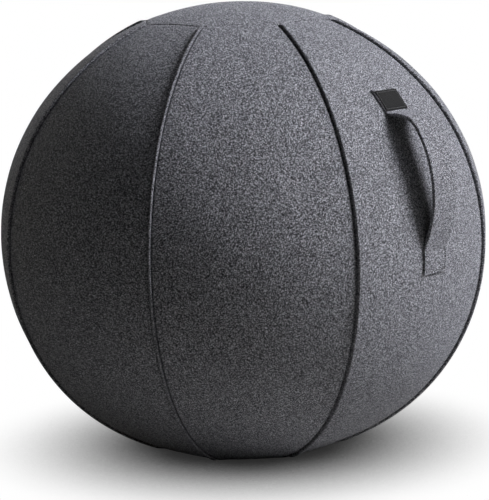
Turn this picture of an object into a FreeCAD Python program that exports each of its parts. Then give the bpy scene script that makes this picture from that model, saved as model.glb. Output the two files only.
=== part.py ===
import FreeCAD, Part
import math
import os

import Sketcher

# Balance ball chair: an inflatable ball in a sewn felt cover of eight upright panels, with a flat
# weighted foot, a carrying handle on the front panel and a zip in one of the back seams.
# Origin: centre of the foot, on the floor. +Z is up and the handle's panel faces -Y.
# Millimetres and degrees.

doc = FreeCAD.newDocument("balance_ball_chair")

sheet = doc.addObject("Spreadsheet::Sheet", "Sizes")

SIZES = (
    # The ball's outline: a side arc about a centre set off the axis, and flatter crown and base arcs
    # tangent to it. Each reaches a little further from the equator than the side arc's own radius.
    ("ball_radius", 316.0),
    ("side_setoff", 28.0),
    ("crown_lift", 12.6),
    ("base_lift", 10.2),
    # Each panel is turned about an axis this far behind the ball's own, so the seams stand out.
    ("axis_setback", 126.0),
    # Cover
    ("felt_thickness", 3.5),
    ("seam_gap", 0.4),
    ("cap_apothem", 116.8),
    ("base_apothem", 103.0),
    ("base_thickness", 3.0),
    ("base_edge_rise", 0.64),
    # Piping: a bead in the groove between two panels, on a web with a sewn flange inside
    ("bead_radius", 2.1),
    ("bead_rise", 0.9),
    ("bead_gap", 0.2),
    ("web_thickness", 1.0),
    ("flange_half_width", 8.0),
    ("flange_thickness", 0.8),
    ("flange_slope", 6.5),
    ("piping_top_gap", 2.0),
    ("piping_foot_gap", 0.8),
    # Inflated ball
    ("bladder_gap", 0.3),
    ("bladder_wall", 1.1),
    # Weighted ring in its sleeve
    ("ring_inset", 19.0),
    ("ring_bar_radius", 10.0),
    ("sleeve_wall", 1.0),
    ("sleeve_gap", 0.2),
    ("sleeve_hem", 6.0),
    # Valve
    ("valve_angle", -31.0),
    ("seat_radius", 10.0),
    ("seat_depth", 7.0),
    ("plug_radius", 3.0),
    ("plug_length", 14.0),
    ("plug_head_radius", 6.5),
    ("plug_head_thickness", 1.2),
    ("plug_clearance", 0.08),
    # Handle
    ("handle_width", 43.0),
    ("handle_thickness", 4.5),
    ("handle_seat_gap", 0.2),
    ("handle_fold_drop", 25.5),
    ("handle_span", 176.2),
    ("handle_pad_length", 33.0),
    ("handle_fold_radius", 6.0),
    ("handle_shoulder_radius", 28.0),
    ("handle_foot_radius", 14.5),
    ("handle_foot_straight", 9.9),
    # Headings of the strap's middle line, above level: after the fold, after the shoulder, at the foot
    ("handle_fold_heading", -6.0),
    ("handle_shoulder_heading", -55.0),
    ("handle_foot_heading", -110.8),
    ("handle_cut_gap", 0.3),
    ("handle_tail", 4.0),
    ("label_width", 41.0),
    ("label_length", 30.0),
    ("label_thickness", 1.2),
    # Zip
    ("zip_low", 42.0),
    ("zip_high", 250.0),
    ("tape_run_out", 5.0),
    ("tape_width", 13.0),
    ("tape_thickness", 0.8),
    ("tape_clearance", 0.9),
    ("chain_width", 2.5),
    ("chain_height", 2.4),
    ("chain_half_gap", 0.4),
    ("zip_gap", 0.3),
    ("stop_length", 3.0),
    ("slider_length", 11.0),
    ("slider_plate", 1.2),
    ("slider_wing", 1.0),
    ("slider_web", 0.4),
    ("pull_pin_radius", 0.8),
    ("ear_wall", 0.8),
    ("pull_eye_radius", 1.7),
    ("pull_clearance", 0.1),
    ("pull_neck_width", 3.8),
    ("pull_neck_length", 6.5),
    ("pull_width", 7.0),
    ("pull_length", 25.0),
    ("pull_thickness", 1.5),
)

for row, (alias, number) in enumerate(SIZES, start=1):
    sheet.set("A%d" % row, alias)
    sheet.set("B%d" % row, str(number))
    sheet.setAlias("B%d" % row, alias)
doc.recompute()


def size(alias):
    return float(sheet.get(alias))


# The panels by name, one every 45 degrees from the front, and the seams between them.
PANEL_NAMES = ("front", "front_right", "right", "back_right", "back", "back_left", "left", "front_left")
SEAM_NAMES = ("front_right", "right_front", "right_back", "back_right",
              "back_left", "left_back", "left_front", "front_left")
STEP = 360.0 / len(PANEL_NAMES)
HALF = STEP / 2
ZIP_SEAM = 3
VALVE_SEAM = 4

# Outline of a panel at its middle, as radius and height.
side_radius = size("ball_radius") - size("side_setoff")
crown_rise = side_radius + size("crown_lift")
base_fall = side_radius + size("base_lift")
felt = size("felt_thickness")
setback = size("axis_setback")


def end_arc_radius(lift):
    """Radius of the arc that is tangent to the side arc and ends level, this far past it, on the axis."""
    return side_radius + lift / 2 + size("side_setoff") ** 2 / (2 * lift)


crown_radius = end_arc_radius(size("crown_lift"))
base_radius = end_arc_radius(size("base_lift"))

# The equator is as high as puts the panels' lower edges just above the floor.
base_edge = size("base_apothem") + size("seam_gap")
equator = base_fall - base_radius + math.sqrt(base_radius ** 2 - base_edge ** 2) + size("base_edge_rise")
side_centre = (size("side_setoff"), equator)
crown_centre = (0.0, equator + crown_rise - crown_radius)
base_centre = (0.0, equator - base_fall + base_radius)
crown_join = math.degrees(math.atan2(side_centre[1] - crown_centre[1], side_centre[0]))
base_join = math.degrees(math.atan2(side_centre[1] - base_centre[1], side_centre[0]))

SIDE_RADIUS = "Sizes.ball_radius - Sizes.side_setoff"
END_RADIUS = SIDE_RADIUS + " + Sizes.{0} / 2 + Sizes.side_setoff^2 / (2 * Sizes.{0})"
CROWN_RADIUS = END_RADIUS.format("crown_lift")
BASE_RADIUS = END_RADIUS.format("base_lift")


def at(centre, radius, degrees):
    """Point of a circle in a two-number plane."""
    angle = math.radians(degrees)
    return (centre[0] + radius * math.cos(angle), centre[1] + radius * math.sin(angle))


def panel_radius(height, inset=0.0):
    """Radius of the panel's middle line at a height, drawn in by an inset."""
    if height > at(crown_centre, crown_radius - inset, crown_join)[1]:
        return math.sqrt((crown_radius - inset) ** 2 - (height - crown_centre[1]) ** 2)
    if height < at(base_centre, base_radius - inset, base_join)[1]:
        return math.sqrt((base_radius - inset) ** 2 - (height - base_centre[1]) ** 2)
    return side_centre[0] + math.sqrt((side_radius - inset) ** 2 - (height - equator) ** 2)


def seam_radius(height):
    """Radius of the seam, where two neighbouring panels would meet, at a height."""
    middle = panel_radius(height)
    lean = setback * math.cos(math.radians(HALF))
    return -lean + math.sqrt(lean ** 2 + middle ** 2 + 2 * middle * setback)


def seam_point(height):
    return FreeCAD.Vector(seam_radius(height), 0, height)


def seam_tangent(height, step=0.01):
    return (seam_point(height + step) - seam_point(height - step)).normalize()


def facing(azimuth, base=(0.0, 0.0, 0.0), tilt=0.0):
    """Placement whose local X points outwards at the azimuth, tilted up by the tilt.

    The azimuth is counted from -Y towards +X; base is outwards, sideways, up from the origin.
    """
    turn = FreeCAD.Rotation(FreeCAD.Vector(0, 0, 1), azimuth - 90)
    lean = FreeCAD.Rotation(FreeCAD.Vector(0, 1, 0), -tilt)
    return FreeCAD.Placement(turn.multVec(FreeCAD.Vector(*base)), turn.multiply(lean))


def line(start, end):
    return (Part.LineSegment(FreeCAD.Vector(*start, 0), FreeCAD.Vector(*end, 0)), None)


def arc(centre, radius, low, high, radius_expression=None):
    circle = Part.Circle(FreeCAD.Vector(*centre, 0), FreeCAD.Vector(0, 0, 1), radius)
    return (Part.ArcOfCircle(circle, math.radians(low), math.radians(high)), radius_expression)


def polyline(points):
    """Closed run of straight lines through the points."""
    return [line(points[i], points[(i + 1) % len(points)]) for i in range(len(points))]


def draw(sketch, pieces):
    """Put a closed outline in a sketch: ends joined, arcs' radii bound to the sheet."""
    first = sketch.GeometryCount
    for geometry, radius_expression in pieces:
        index = sketch.addGeometry(geometry, False)
        if radius_expression:
            mark = sketch.addConstraint(Sketcher.Constraint("Radius", index, geometry.Radius))
            sketch.setExpression("Constraints[%d]" % mark, radius_expression)
    count = len(pieces)
    for i in range(count):
        j = (i + 1) % count
        here, there = pieces[i][0], pieces[j][0]
        ends = [(here.StartPoint, 1), (here.EndPoint, 2)]
        starts = [(there.StartPoint, 1), (there.EndPoint, 2)]
        gap, a, b = min((p.distanceToPoint(q), m, n) for p, m in ends for q, n in starts)
        sketch.addConstraint(Sketcher.Constraint("Coincident", first + i, a, first + j, b))


def new_body(label, placement):
    body = doc.addObject("PartDesign::Body", label)
    body.Label = label
    body.Placement = placement
    return body


def new_sketch(body, plane, offset=0.0):
    sketch = body.newObject("Sketcher::SketchObject", body.Name + "_sketch")
    origin_plane = [f for f in body.Origin.OriginFeatures if f.Role == plane][0]
    sketch.AttachmentSupport = [(origin_plane, "")]
    sketch.MapMode = "FlatFace"
    sketch.AttachmentOffset = FreeCAD.Placement(FreeCAD.Vector(0, 0, offset), FreeCAD.Rotation())
    return sketch


def new_pad(body, sketch, length, expression):
    """Pad both ways from the sketch's plane."""
    pad = body.newObject("PartDesign::Pad", body.Name + "_pad")
    pad.Profile = sketch
    pad.Length = length
    pad.setExpression("Length", expression)
    pad.Midplane = True
    return pad


def new_revolution(body, sketch, axis, angle):
    """Turn both ways from the sketch's plane."""
    turn = body.newObject("PartDesign::Revolution", body.Name + "_turn")
    turn.Profile = sketch
    turn.ReferenceAxis = (sketch, [axis])
    turn.Angle = angle
    turn.Midplane = angle < 360
    return turn


def shell_outline(low_radius, high_radius):
    """Section of a cover panel from its base end to its crown end."""
    top_out = math.degrees(math.acos(high_radius / crown_radius))
    top_in = math.degrees(math.acos(high_radius / (crown_radius - felt)))
    low_out = -math.degrees(math.acos(low_radius / base_radius))
    low_in = -math.degrees(math.acos(low_radius / (base_radius - felt)))
    inner = " - Sizes.felt_thickness"
    return [
        arc(base_centre, base_radius, low_out, base_join, BASE_RADIUS),
        arc(side_centre, side_radius, base_join, crown_join, SIDE_RADIUS),
        arc(crown_centre, crown_radius, crown_join, top_out, CROWN_RADIUS),
        line(at(crown_centre, crown_radius, top_out), at(crown_centre, crown_radius - felt, top_in)),
        arc(crown_centre, crown_radius - felt, crown_join, top_in, CROWN_RADIUS + inner),
        arc(side_centre, side_radius - felt, base_join, crown_join, SIDE_RADIUS + inner),
        arc(base_centre, base_radius - felt, low_in, base_join, BASE_RADIUS + inner),
        line(at(base_centre, base_radius - felt, low_in), at(base_centre, base_radius, low_out)),
    ]


# Cover panels. Each is turned a little past its straight seams, then trimmed back to them.
TRIM = 8.0
FAR = 700.0  # past everything
groove_half = size("bead_radius") + size("bead_gap")
zip_half = (size("chain_half_gap") + size("chain_width") + size("slider_wing") + 2 * size("zip_gap"))
zip_open_low = size("zip_low") - size("tape_run_out")
zip_open_high = size("zip_high") + size("tape_run_out")


def beside_seam(distance, along, side):
    """Point at a distance from the seam's plane, on the panel's side of it."""
    angle = math.radians(HALF)
    x = along * math.cos(angle) + distance * math.sin(angle)
    y = along * math.sin(angle) - distance * math.cos(angle)
    return (x, side * y)


def cover_panel(index):
    body = new_body("cover_panel_" + PANEL_NAMES[index], facing(index * STEP))
    section = new_sketch(body, "XZ_Plane")
    draw(section, shell_outline(size("base_apothem") - TRIM, size("cap_apothem") - TRIM))
    axis = section.addGeometry(Part.LineSegment(FreeCAD.Vector(-setback, 0, 0),
                                                FreeCAD.Vector(-setback, equator, 0)), True)
    mark = section.addConstraint(Sketcher.Constraint("DistanceX", -1, 1, axis, 1, -setback))
    section.setExpression("Constraints[%d]" % mark, "-Sizes.axis_setback")
    section.addConstraint(Sketcher.Constraint("Vertical", axis))
    new_revolution(body, section, "Axis0", STEP)

    # Trimmed beside both seams, leaving the groove for the bead.
    apex = groove_half / math.sin(math.radians(HALF))
    reach = (apex + FAR * math.cos(math.radians(HALF)), FAR * math.sin(math.radians(HALF)))
    outside = new_sketch(body, "XY_Plane")
    draw(outside, polyline([(apex, 0), reach, (reach[0], FAR), (-FAR, FAR),
                            (-FAR, -FAR), (reach[0], -FAR), (reach[0], -reach[1])]))
    trim_pocket(body, outside, FAR, False)
    trim_pocket(body, straight_edge(body, size("cap_apothem"), equator), FAR, True)
    trim_pocket(body, straight_edge(body, size("base_apothem"), -TRIM), equator, True)

    if index in (ZIP_SEAM, ZIP_SEAM + 1):
        side = 1 if index == ZIP_SEAM else -1
        slot = new_sketch(body, "XY_Plane", zip_open_low)
        draw(slot, polyline([beside_seam(0.0, FAR, side), beside_seam(zip_half, FAR, side),
                             beside_seam(zip_half, setback / 2, side),
                             beside_seam(0.0, setback / 2, side)]))
        trim_pocket(body, slot, zip_open_high - zip_open_low, True)
    return body


def straight_edge(body, apothem, height):
    """Sketch of all that lies inside the straight seam at an apothem."""
    edge = apothem + size("seam_gap")
    sketch = new_sketch(body, "XY_Plane", height)
    draw(sketch, polyline([(edge, -FAR), (edge, FAR), (-FAR, FAR), (-FAR, -FAR)]))
    return sketch


def trim_pocket(body, sketch, depth, upwards):
    pocket = body.newObject("PartDesign::Pocket", body.Name + "_trim")
    pocket.Profile = sketch
    pocket.Length = depth
    if upwards:
        pocket.Reversed = True
    else:
        pocket.Type = 1
        pocket.Midplane = True
    return pocket


panels = [cover_panel(i) for i in range(len(PANEL_NAMES))]


# Top panel: a piece of the crown with eight straight edges, and the base panel under the foot
def octagon(label, apothem_name, height, low, height_expression=None):
    prism = doc.addObject("Part::Prism", label)
    prism.Polygon = len(PANEL_NAMES)
    prism.setExpression("Circumradius", "Sizes.%s / cos(%g)" % (apothem_name, HALF))
    prism.Height = height
    if height_expression:
        prism.setExpression("Height", height_expression)
    prism.Placement = FreeCAD.Placement(FreeCAD.Vector(0, 0, low),
                                        FreeCAD.Rotation(FreeCAD.Vector(0, 0, 1), HALF))
    return prism


def ball(label, centre_height, expression):
    sphere = doc.addObject("Part::Sphere", label)
    sphere.setExpression("Radius", expression)
    sphere.Placement.Base = FreeCAD.Vector(0, 0, centre_height)
    return sphere


crown_shell = doc.addObject("Part::Cut", "crown_shell")
crown_shell.Base = ball("crown_outside", crown_centre[1], CROWN_RADIUS)
crown_shell.Tool = ball("crown_inside", crown_centre[1], CROWN_RADIUS + " - Sizes.felt_thickness")
cap = doc.addObject("Part::Common", "cover_top_panel")
cap.Label = "cover_top_panel"
cap.Base = crown_shell
cap.Tool = octagon("cap_edges", "cap_apothem", side_radius, equator + side_radius / 2, SIDE_RADIUS)

base_panel = octagon("base_panel", "base_apothem", size("base_thickness"), 0.0, "Sizes.base_thickness")
base_panel.Label = "base_panel"


# Piping: a sweep along each seam on tangent arcs
def tangent_arc(start, tangent, end):
    """Circular edge from start, leaving along the tangent, to end."""
    chord = end - start
    across = tangent - chord * (tangent.dot(chord) / chord.dot(chord))
    if across.Length < 1e-9:
        return Part.LineSegment(start, end).toShape()
    half_turn = tangent.getAngle(chord)
    middle = (start + end) * 0.5 + across.normalize() * (chord.Length / 2 * math.tan(half_turn / 2))
    return Part.Arc(start, middle, end).toShape()


def biarc(start, start_tangent, end, end_tangent):
    """Two tangent arcs between two points with given tangents."""
    chord = end - start
    both = start_tangent + end_tangent
    square = both.dot(both) - 4
    linear = -2 * chord.dot(both)
    constant = chord.dot(chord)
    root = math.sqrt(linear ** 2 - 4 * square * constant)
    reach = 2 * constant / (-linear + root)
    joint = (start + start_tangent * reach + end - end_tangent * reach) * 0.5
    last = tangent_arc(end, end_tangent * -1, joint)
    return [tangent_arc(start, start_tangent, joint), last]


def piping_section(origin, tangent):
    """Bead, web and roof-shaped flange, in the plane square to the seam at its start."""
    sideways = FreeCAD.Vector(0, 1, 0)
    outwards = sideways.cross(tangent)
    if outwards.x < 0:
        outwards = outwards * -1
    radius = size("bead_radius")
    web = size("web_thickness") / 2
    width = size("flange_half_width")
    slope = math.tan(math.radians(size("flange_slope")))
    top = -(felt + size("bead_gap"))
    neck = size("bead_rise") - math.sqrt(radius ** 2 - web ** 2)

    def place(across, out):
        return origin + sideways * across + outwards * out

    corners = [(web, neck), (web, top - web * slope), (width, top - width * slope),
               (width, top - width * slope - size("flange_thickness")),
               (0.0, top - size("flange_thickness")),
               (-width, top - width * slope - size("flange_thickness")),
               (-width, top - width * slope), (-web, top - web * slope), (-web, neck)]
    edges = [Part.LineSegment(place(*corners[i]), place(*corners[i + 1])).toShape()
             for i in range(len(corners) - 1)]
    edges.append(Part.Arc(place(-web, neck), place(0.0, size("bead_rise") + radius),
                          place(web, neck)).toShape())
    return Part.Wire(edges)


def piping(label, azimuth, low, high, spans=4):
    heights = [low + (high - low) * 0.5 * (1 - math.cos(math.pi * i / spans)) for i in range(spans + 1)]
    edges = []
    for below, above in zip(heights, heights[1:]):
        edges += biarc(seam_point(below), seam_tangent(below), seam_point(above), seam_tangent(above))
    path = Part.Wire(Part.__sortEdges__(edges))
    section = piping_section(seam_point(low), seam_tangent(low))
    bead = doc.addObject("Part::Feature", label)
    bead.Label = label
    bead.Shape = path.makePipeShell([section], True, False)
    bead.Placement = facing(azimuth)
    return bead


def height_at_radius(target, low, high):
    """Height on the upper or lower half where the seam has the target radius."""
    rising = seam_radius(high) > seam_radius(low)
    for _ in range(60):
        middle = (low + high) / 2
        if (seam_radius(middle) < target) == rising:
            low = middle
        else:
            high = middle
    return low


cap_corner = size("cap_apothem") / math.cos(math.radians(HALF)) + size("piping_top_gap")
piping_high = height_at_radius(cap_corner, equator, crown_centre[1] + crown_radius - 1)
piping_low = size("bead_radius") + size("bead_rise") + size("piping_foot_gap")
for index, name in enumerate(SEAM_NAMES):
    seam_azimuth = (index + 0.5) * STEP
    if index == ZIP_SEAM:
        piping("seam_piping_%s_lower" % name, seam_azimuth, piping_low, zip_open_low - size("zip_gap"), 1)
        piping("seam_piping_%s_upper" % name, seam_azimuth, zip_open_high + size("zip_gap"), piping_high)
    else:
        piping("seam_piping_" + name, seam_azimuth, piping_low, piping_high)


# Weighted ring and the sleeve that is sewn over it on the base panel
ring_low = size("base_thickness") + size("sleeve_gap") / 2
ring_height = ring_low + size("ring_bar_radius")
ballast = doc.addObject("Part::Torus", "ballast_ring")
ballast.Label = "ballast_ring"
ballast.setExpression("Radius1", "Sizes.base_apothem - Sizes.ring_inset")
ballast.setExpression("Radius2", "Sizes.ring_bar_radius")
ballast.Placement.Base = FreeCAD.Vector(0, 0, ring_height)

ring = (size("base_apothem") - size("ring_inset"), ring_height)
sleeve_in = size("ring_bar_radius") + size("sleeve_gap")
sleeve_out = sleeve_in + size("sleeve_wall")
hem_top = ring_low + size("sleeve_wall")
hem_end = sleeve_out + size("sleeve_hem")
SLEEVE_IN = "Sizes.ring_bar_radius + Sizes.sleeve_gap"
sleeve = new_body("ring_sleeve", FreeCAD.Placement())
sleeve_sketch = new_sketch(sleeve, "XZ_Plane")
draw(sleeve_sketch, [
    arc(ring, sleeve_out, 0, 180, SLEEVE_IN + " + Sizes.sleeve_wall"),
    line((ring[0] - sleeve_out, ring[1]), (ring[0] - sleeve_out, hem_top)),
    line((ring[0] - sleeve_out, hem_top), (ring[0] - hem_end, hem_top)),
    line((ring[0] - hem_end, hem_top), (ring[0] - hem_end, ring_low)),
    line((ring[0] - hem_end, ring_low), (ring[0] - sleeve_in, ring_low)),
    line((ring[0] - sleeve_in, ring_low), (ring[0] - sleeve_in, ring[1])),
    arc(ring, sleeve_in, 0, 180, SLEEVE_IN),
    line((ring[0] + sleeve_in, ring[1]), (ring[0] + sleeve_in, ring_low)),
    line((ring[0] + sleeve_in, ring_low), (ring[0] + hem_end, ring_low)),
    line((ring[0] + hem_end, ring_low), (ring[0] + hem_end, hem_top)),
    line((ring[0] + hem_end, hem_top), (ring[0] + sleeve_out, hem_top)),
    line((ring[0] + sleeve_out, hem_top), (ring[0] + sleeve_out, ring[1])),
])
new_revolution(sleeve, sleeve_sketch, "V_Axis", 360)


# Inflated ball: the cover's inside, drawn in by the gap, pressed flat over the ring
def bladder_line(inset, floor, sleeve_room, inset_expression):
    """One face of the skin, from the top on the axis to the bottom on the axis."""
    low = base_centre[1] - floor
    foot = math.sqrt((base_radius - inset) ** 2 - low ** 2)
    foot_angle = -math.degrees(math.acos(foot / (base_radius - inset)))
    reach = sleeve_out + sleeve_room
    return [
        arc(crown_centre, crown_radius - inset, crown_join, 90, CROWN_RADIUS + inset_expression),
        arc(side_centre, side_radius - inset, base_join, crown_join, SIDE_RADIUS + inset_expression),
        arc(base_centre, base_radius - inset, foot_angle, base_join, BASE_RADIUS + inset_expression),
        line((foot, floor), (ring[0] + reach, floor)),
        line((ring[0] + reach, floor), (ring[0] + reach, ring[1])),
        arc(ring, reach, 0, 180),
        line((ring[0] - reach, ring[1]), (ring[0] - reach, floor)),
        line((ring[0] - reach, floor), (0.0, floor)),
    ]


skin_out = felt + size("bladder_gap")
skin_in = skin_out + size("bladder_wall")
skin_floor = hem_top + size("bladder_gap")
SKIN_OUT = " - Sizes.felt_thickness - Sizes.bladder_gap"
skin = new_body("bladder_skin", FreeCAD.Placement())
skin_sketch = new_sketch(skin, "XZ_Plane")
outer_line = bladder_line(skin_out, skin_floor, size("bladder_gap"), SKIN_OUT)
inner_line = bladder_line(skin_in, skin_floor + size("bladder_wall"),
                          size("bladder_gap") + size("bladder_wall"), SKIN_OUT + " - Sizes.bladder_wall")
skin_top_out = (0.0, crown_centre[1] + crown_radius - skin_out)
skin_top_in = (0.0, crown_centre[1] + crown_radius - skin_in)
bottom_line = line((0.0, skin_floor), (0.0, skin_floor + size("bladder_wall")))
draw(skin_sketch, outer_line + [bottom_line] + inner_line[::-1] + [line(skin_top_in, skin_top_out)])
new_revolution(skin, skin_sketch, "V_Axis", 360)

# Valve: a moulded seat through the skin, and its plug, under a back seam where there is room for the head
valve_azimuth = (VALVE_SEAM + 0.5) * STEP
valve_out = at(side_centre, side_radius - skin_out, size("valve_angle"))
valve_place = facing(valve_azimuth, (valve_out[0], 0, valve_out[1]), size("valve_angle"))


def cylinder(label, radius_expression, start, length, length_expression=None):
    """Cylinder along the valve's axis; start is counted outwards from the skin's outer face."""
    rod = doc.addObject("Part::Cylinder", label)
    rod.setExpression("Radius", radius_expression)
    rod.Height = length
    if length_expression:
        rod.setExpression("Height", length_expression)
    rod.Placement = valve_place.multiply(FreeCAD.Placement(
        FreeCAD.Vector(start, 0, 0), FreeCAD.Rotation(FreeCAD.Vector(0, 1, 0), 90)))
    return rod


bladder = doc.addObject("Part::Cut", "bladder")
bladder.Label = "bladder"
bladder.Base = skin
bladder.Tool = cylinder("seat_opening", "Sizes.seat_radius + Sizes.plug_clearance", -size("seat_depth"),
                        2 * size("seat_depth"))
seat_cut = doc.addObject("Part::Cut", "valve_seat")
seat_cut.Label = "valve_seat"
seat_cut.Base = cylinder("seat_boss", "Sizes.seat_radius", -size("seat_depth"), size("seat_depth"),
                         "Sizes.seat_depth")
seat_cut.Tool = cylinder("seat_bore", "Sizes.plug_radius + Sizes.plug_clearance",
                         -2 * size("seat_depth"), 4 * size("seat_depth"))
plug = doc.addObject("Part::Fuse", "valve_plug")
plug.Label = "valve_plug"
plug.Base = cylinder("plug_shank", "Sizes.plug_radius", -size("plug_length"),
                     size("plug_length") + size("plug_clearance"),
                     "Sizes.plug_length + Sizes.plug_clearance")
plug.Tool = cylinder("plug_head", "Sizes.plug_head_radius", size("plug_clearance"),
                     size("plug_head_thickness"), "Sizes.plug_head_thickness")


# Handle: one strap, drawn along its middle line as tangent arcs and lines in the front panel's plane.
# Headings are measured up from level; the strap runs from its upper sewn end down to its lower one.
fold_heading = size("handle_fold_heading")
shoulder_heading = size("handle_shoulder_heading")
foot_heading = size("handle_foot_heading")
handle_half = size("handle_thickness") / 2
lift = size("handle_seat_gap") + handle_half


def run_arc(start, heading, new_heading, radius):
    """Arc that turns from one heading to another: its record and its end point."""
    side = 1 if new_heading > heading else -1
    to_centre = math.radians(heading + 90 * side)
    centre = (start[0] + radius * math.cos(to_centre), start[1] + radius * math.sin(to_centre))
    end = at(centre, radius, new_heading - 90 * side)
    return ("arc", centre, radius, heading - 90 * side, new_heading - 90 * side), end


def run_line(start, heading, length):
    end = at(start, length, heading)
    return ("line", start, heading, length), end


pad_radius = side_radius + lift


def pad_turn(length):
    return math.degrees(length / pad_radius)


fold_angle = crown_join - pad_turn(size("handle_fold_drop"))
pad_top_angle = fold_angle - pad_turn(size("handle_span"))
pad_end_angle = pad_top_angle - pad_turn(size("handle_pad_length"))
label_end_angle = fold_angle + pad_turn(size("label_length"))
tail_end_angle = label_end_angle + pad_turn(size("handle_tail"))
strap_start = at(side_centre, pad_radius, fold_angle)
strap_end = at(side_centre, pad_radius, pad_top_angle)
fold_turn = (fold_angle - 90, fold_heading, size("handle_fold_radius"))
shoulder_turn = (fold_heading, shoulder_heading, size("handle_shoulder_radius"))
foot_turn = (foot_heading, pad_top_angle - 90, size("handle_foot_radius"))

# The straight after the fold and the bow's radius are what close the path on the pad.
reach = (0.0, 0.0)
for turn in (fold_turn, shoulder_turn, foot_turn):
    reach = run_arc(reach, *turn)[1]
reach = run_line(reach, foot_heading, size("handle_foot_straight"))[1]
left = (strap_end[0] - strap_start[0] - reach[0], strap_end[1] - strap_start[1] - reach[1])
straight = at((0.0, 0.0), 1.0, fold_heading)
bow = run_arc((0.0, 0.0), shoulder_heading, foot_heading, 1.0)[1]
cross = straight[0] * bow[1] - straight[1] * bow[0]
upper_straight = (left[0] * bow[1] - left[1] * bow[0]) / cross
bow_radius = (straight[0] * left[1] - straight[1] * left[0]) / cross

fold_run, point = run_arc(strap_start, *fold_turn)
upper_run, point = run_line(point, fold_heading, upper_straight)
shoulder_run, point = run_arc(point, *shoulder_turn)
bow_run, point = run_arc(point, shoulder_heading, foot_heading, bow_radius)
lower_run, point = run_line(point, foot_heading, size("handle_foot_straight"))
foot_run, point = run_arc(point, *foot_turn)


def part_of(run, start, end):
    """The stretch of a run between two shares of its length."""
    if run[0] == "line":
        return ("line", at(run[1], run[3] * start, run[2]), run[2], run[3] * (end - start))
    sweep = run[4] - run[3]
    return ("arc", run[1], run[2], run[3] + sweep * start, run[3] + sweep * end)


def run_side(run, offset):
    """One long side of the strap along a run, and that side's two ends."""
    if run[0] == "line":
        start = at(run[1], offset, run[2] + 90)
        end = at(start, run[3], run[2])
        return line(start, end), start, end
    turning_up = run[4] > run[3]
    radius = run[2] - offset if turning_up else run[2] + offset
    piece = arc(run[1], radius, min(run[3], run[4]), max(run[3], run[4]))
    return piece, at(run[1], radius, run[3]), at(run[1], radius, run[4])


def strap_piece(label, runs, width_name="handle_width", low=-handle_half, high=handle_half):
    """A stretch of flat strap: its two long sides along the runs, closed by its two ends."""
    upper = [run_side(run, high) for run in runs]
    lower = [run_side(run, low) for run in runs]
    pieces = [side[0] for side in upper]
    pieces.append(line(upper[-1][2], lower[-1][2]))
    pieces += [side[0] for side in lower[::-1]]
    pieces.append(line(lower[0][1], upper[0][1]))
    body = new_body(label, facing(0.0))
    sketch = new_sketch(body, "XZ_Plane")
    draw(sketch, pieces)
    new_pad(body, sketch, size(width_name), "Sizes." + width_name)
    return body


# The grip is the strap's stretch between these shares of the shoulder and of the bow.
UPPER_CUT = 0.55
LOWER_CUT = 0.72
shoulder_share = math.degrees(size("handle_cut_gap") / size("handle_shoulder_radius"))
shoulder_share /= shoulder_heading - fold_heading
bow_share = math.degrees(size("handle_cut_gap") / bow_radius)
bow_share /= foot_heading - shoulder_heading
upper_pad_run = ("arc", side_centre, pad_radius, tail_end_angle, fold_angle)
lower_pad_run = ("arc", side_centre, pad_radius, pad_top_angle, pad_end_angle)
strap_piece("handle_upper_end", [upper_pad_run])
strap_piece("handle_upper_bend", [fold_run, upper_run, part_of(shoulder_run, 0.0, UPPER_CUT)])
strap_piece("handle_grip", [part_of(shoulder_run, UPPER_CUT - shoulder_share, 1.0),
                            part_of(bow_run, 0.0, LOWER_CUT)])
strap_piece("handle_lower_bend", [part_of(bow_run, LOWER_CUT - bow_share, 1.0), lower_run, foot_run])
strap_piece("handle_lower_end", [lower_pad_run])

label_low = handle_half + size("handle_seat_gap") / 2
label_run = ("arc", side_centre, pad_radius, label_end_angle, fold_angle)
strap_piece("label_patch", [label_run], "label_width", label_low, label_low + size("label_thickness"))


# Zip, on the circle through three points of its seam
def circle_through(p, q, r):
    ax, ay, bx, by = q[0] - p[0], q[1] - p[1], r[0] - p[0], r[1] - p[1]
    d = 2 * (ax * by - ay * bx)
    ux = (by * (ax * ax + ay * ay) - ay * (bx * bx + by * by)) / d
    uy = (ax * (bx * bx + by * by) - bx * (ax * ax + ay * ay)) / d
    return (p[0] + ux, p[1] + uy), math.hypot(ux, uy)


zip_azimuth = (ZIP_SEAM + 0.5) * STEP
zip_middle = (size("zip_low") + size("zip_high")) / 2
zip_centre, zip_radius = circle_through(*[(seam_radius(z), z) for z in
                                          (size("zip_low"), zip_middle, size("zip_high"))])


def zip_angle(height):
    """Angle along the zip's circle at a height, above level."""
    return math.degrees(math.asin((height - zip_centre[1]) / zip_radius))


def along(length):
    return math.degrees(length / zip_radius)


tape_face = felt + size("tape_clearance")
chain_low = zip_angle(size("zip_low"))
chain_high = zip_angle(size("zip_high"))
stop_turn = along(size("stop_length"))
gap_turn = along(size("zip_gap"))
tape_low = zip_angle(zip_open_low)
tape_high = zip_angle(zip_open_high)
chain_side = size("chain_half_gap") + size("chain_width")


def zip_strip(label, corners, low, high):
    """Strip along the zip's circle; corners are outwards from the seam line, and sideways."""
    centre = (zip_centre[0], 0, zip_centre[1])
    body = new_body(label, facing(zip_azimuth, centre, (low + high) / 2))
    sketch = new_sketch(body, "XY_Plane")
    draw(sketch, polyline([(zip_radius + out, side) for out, side in corners]))
    new_revolution(body, sketch, "V_Axis", high - low)
    return body


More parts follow.
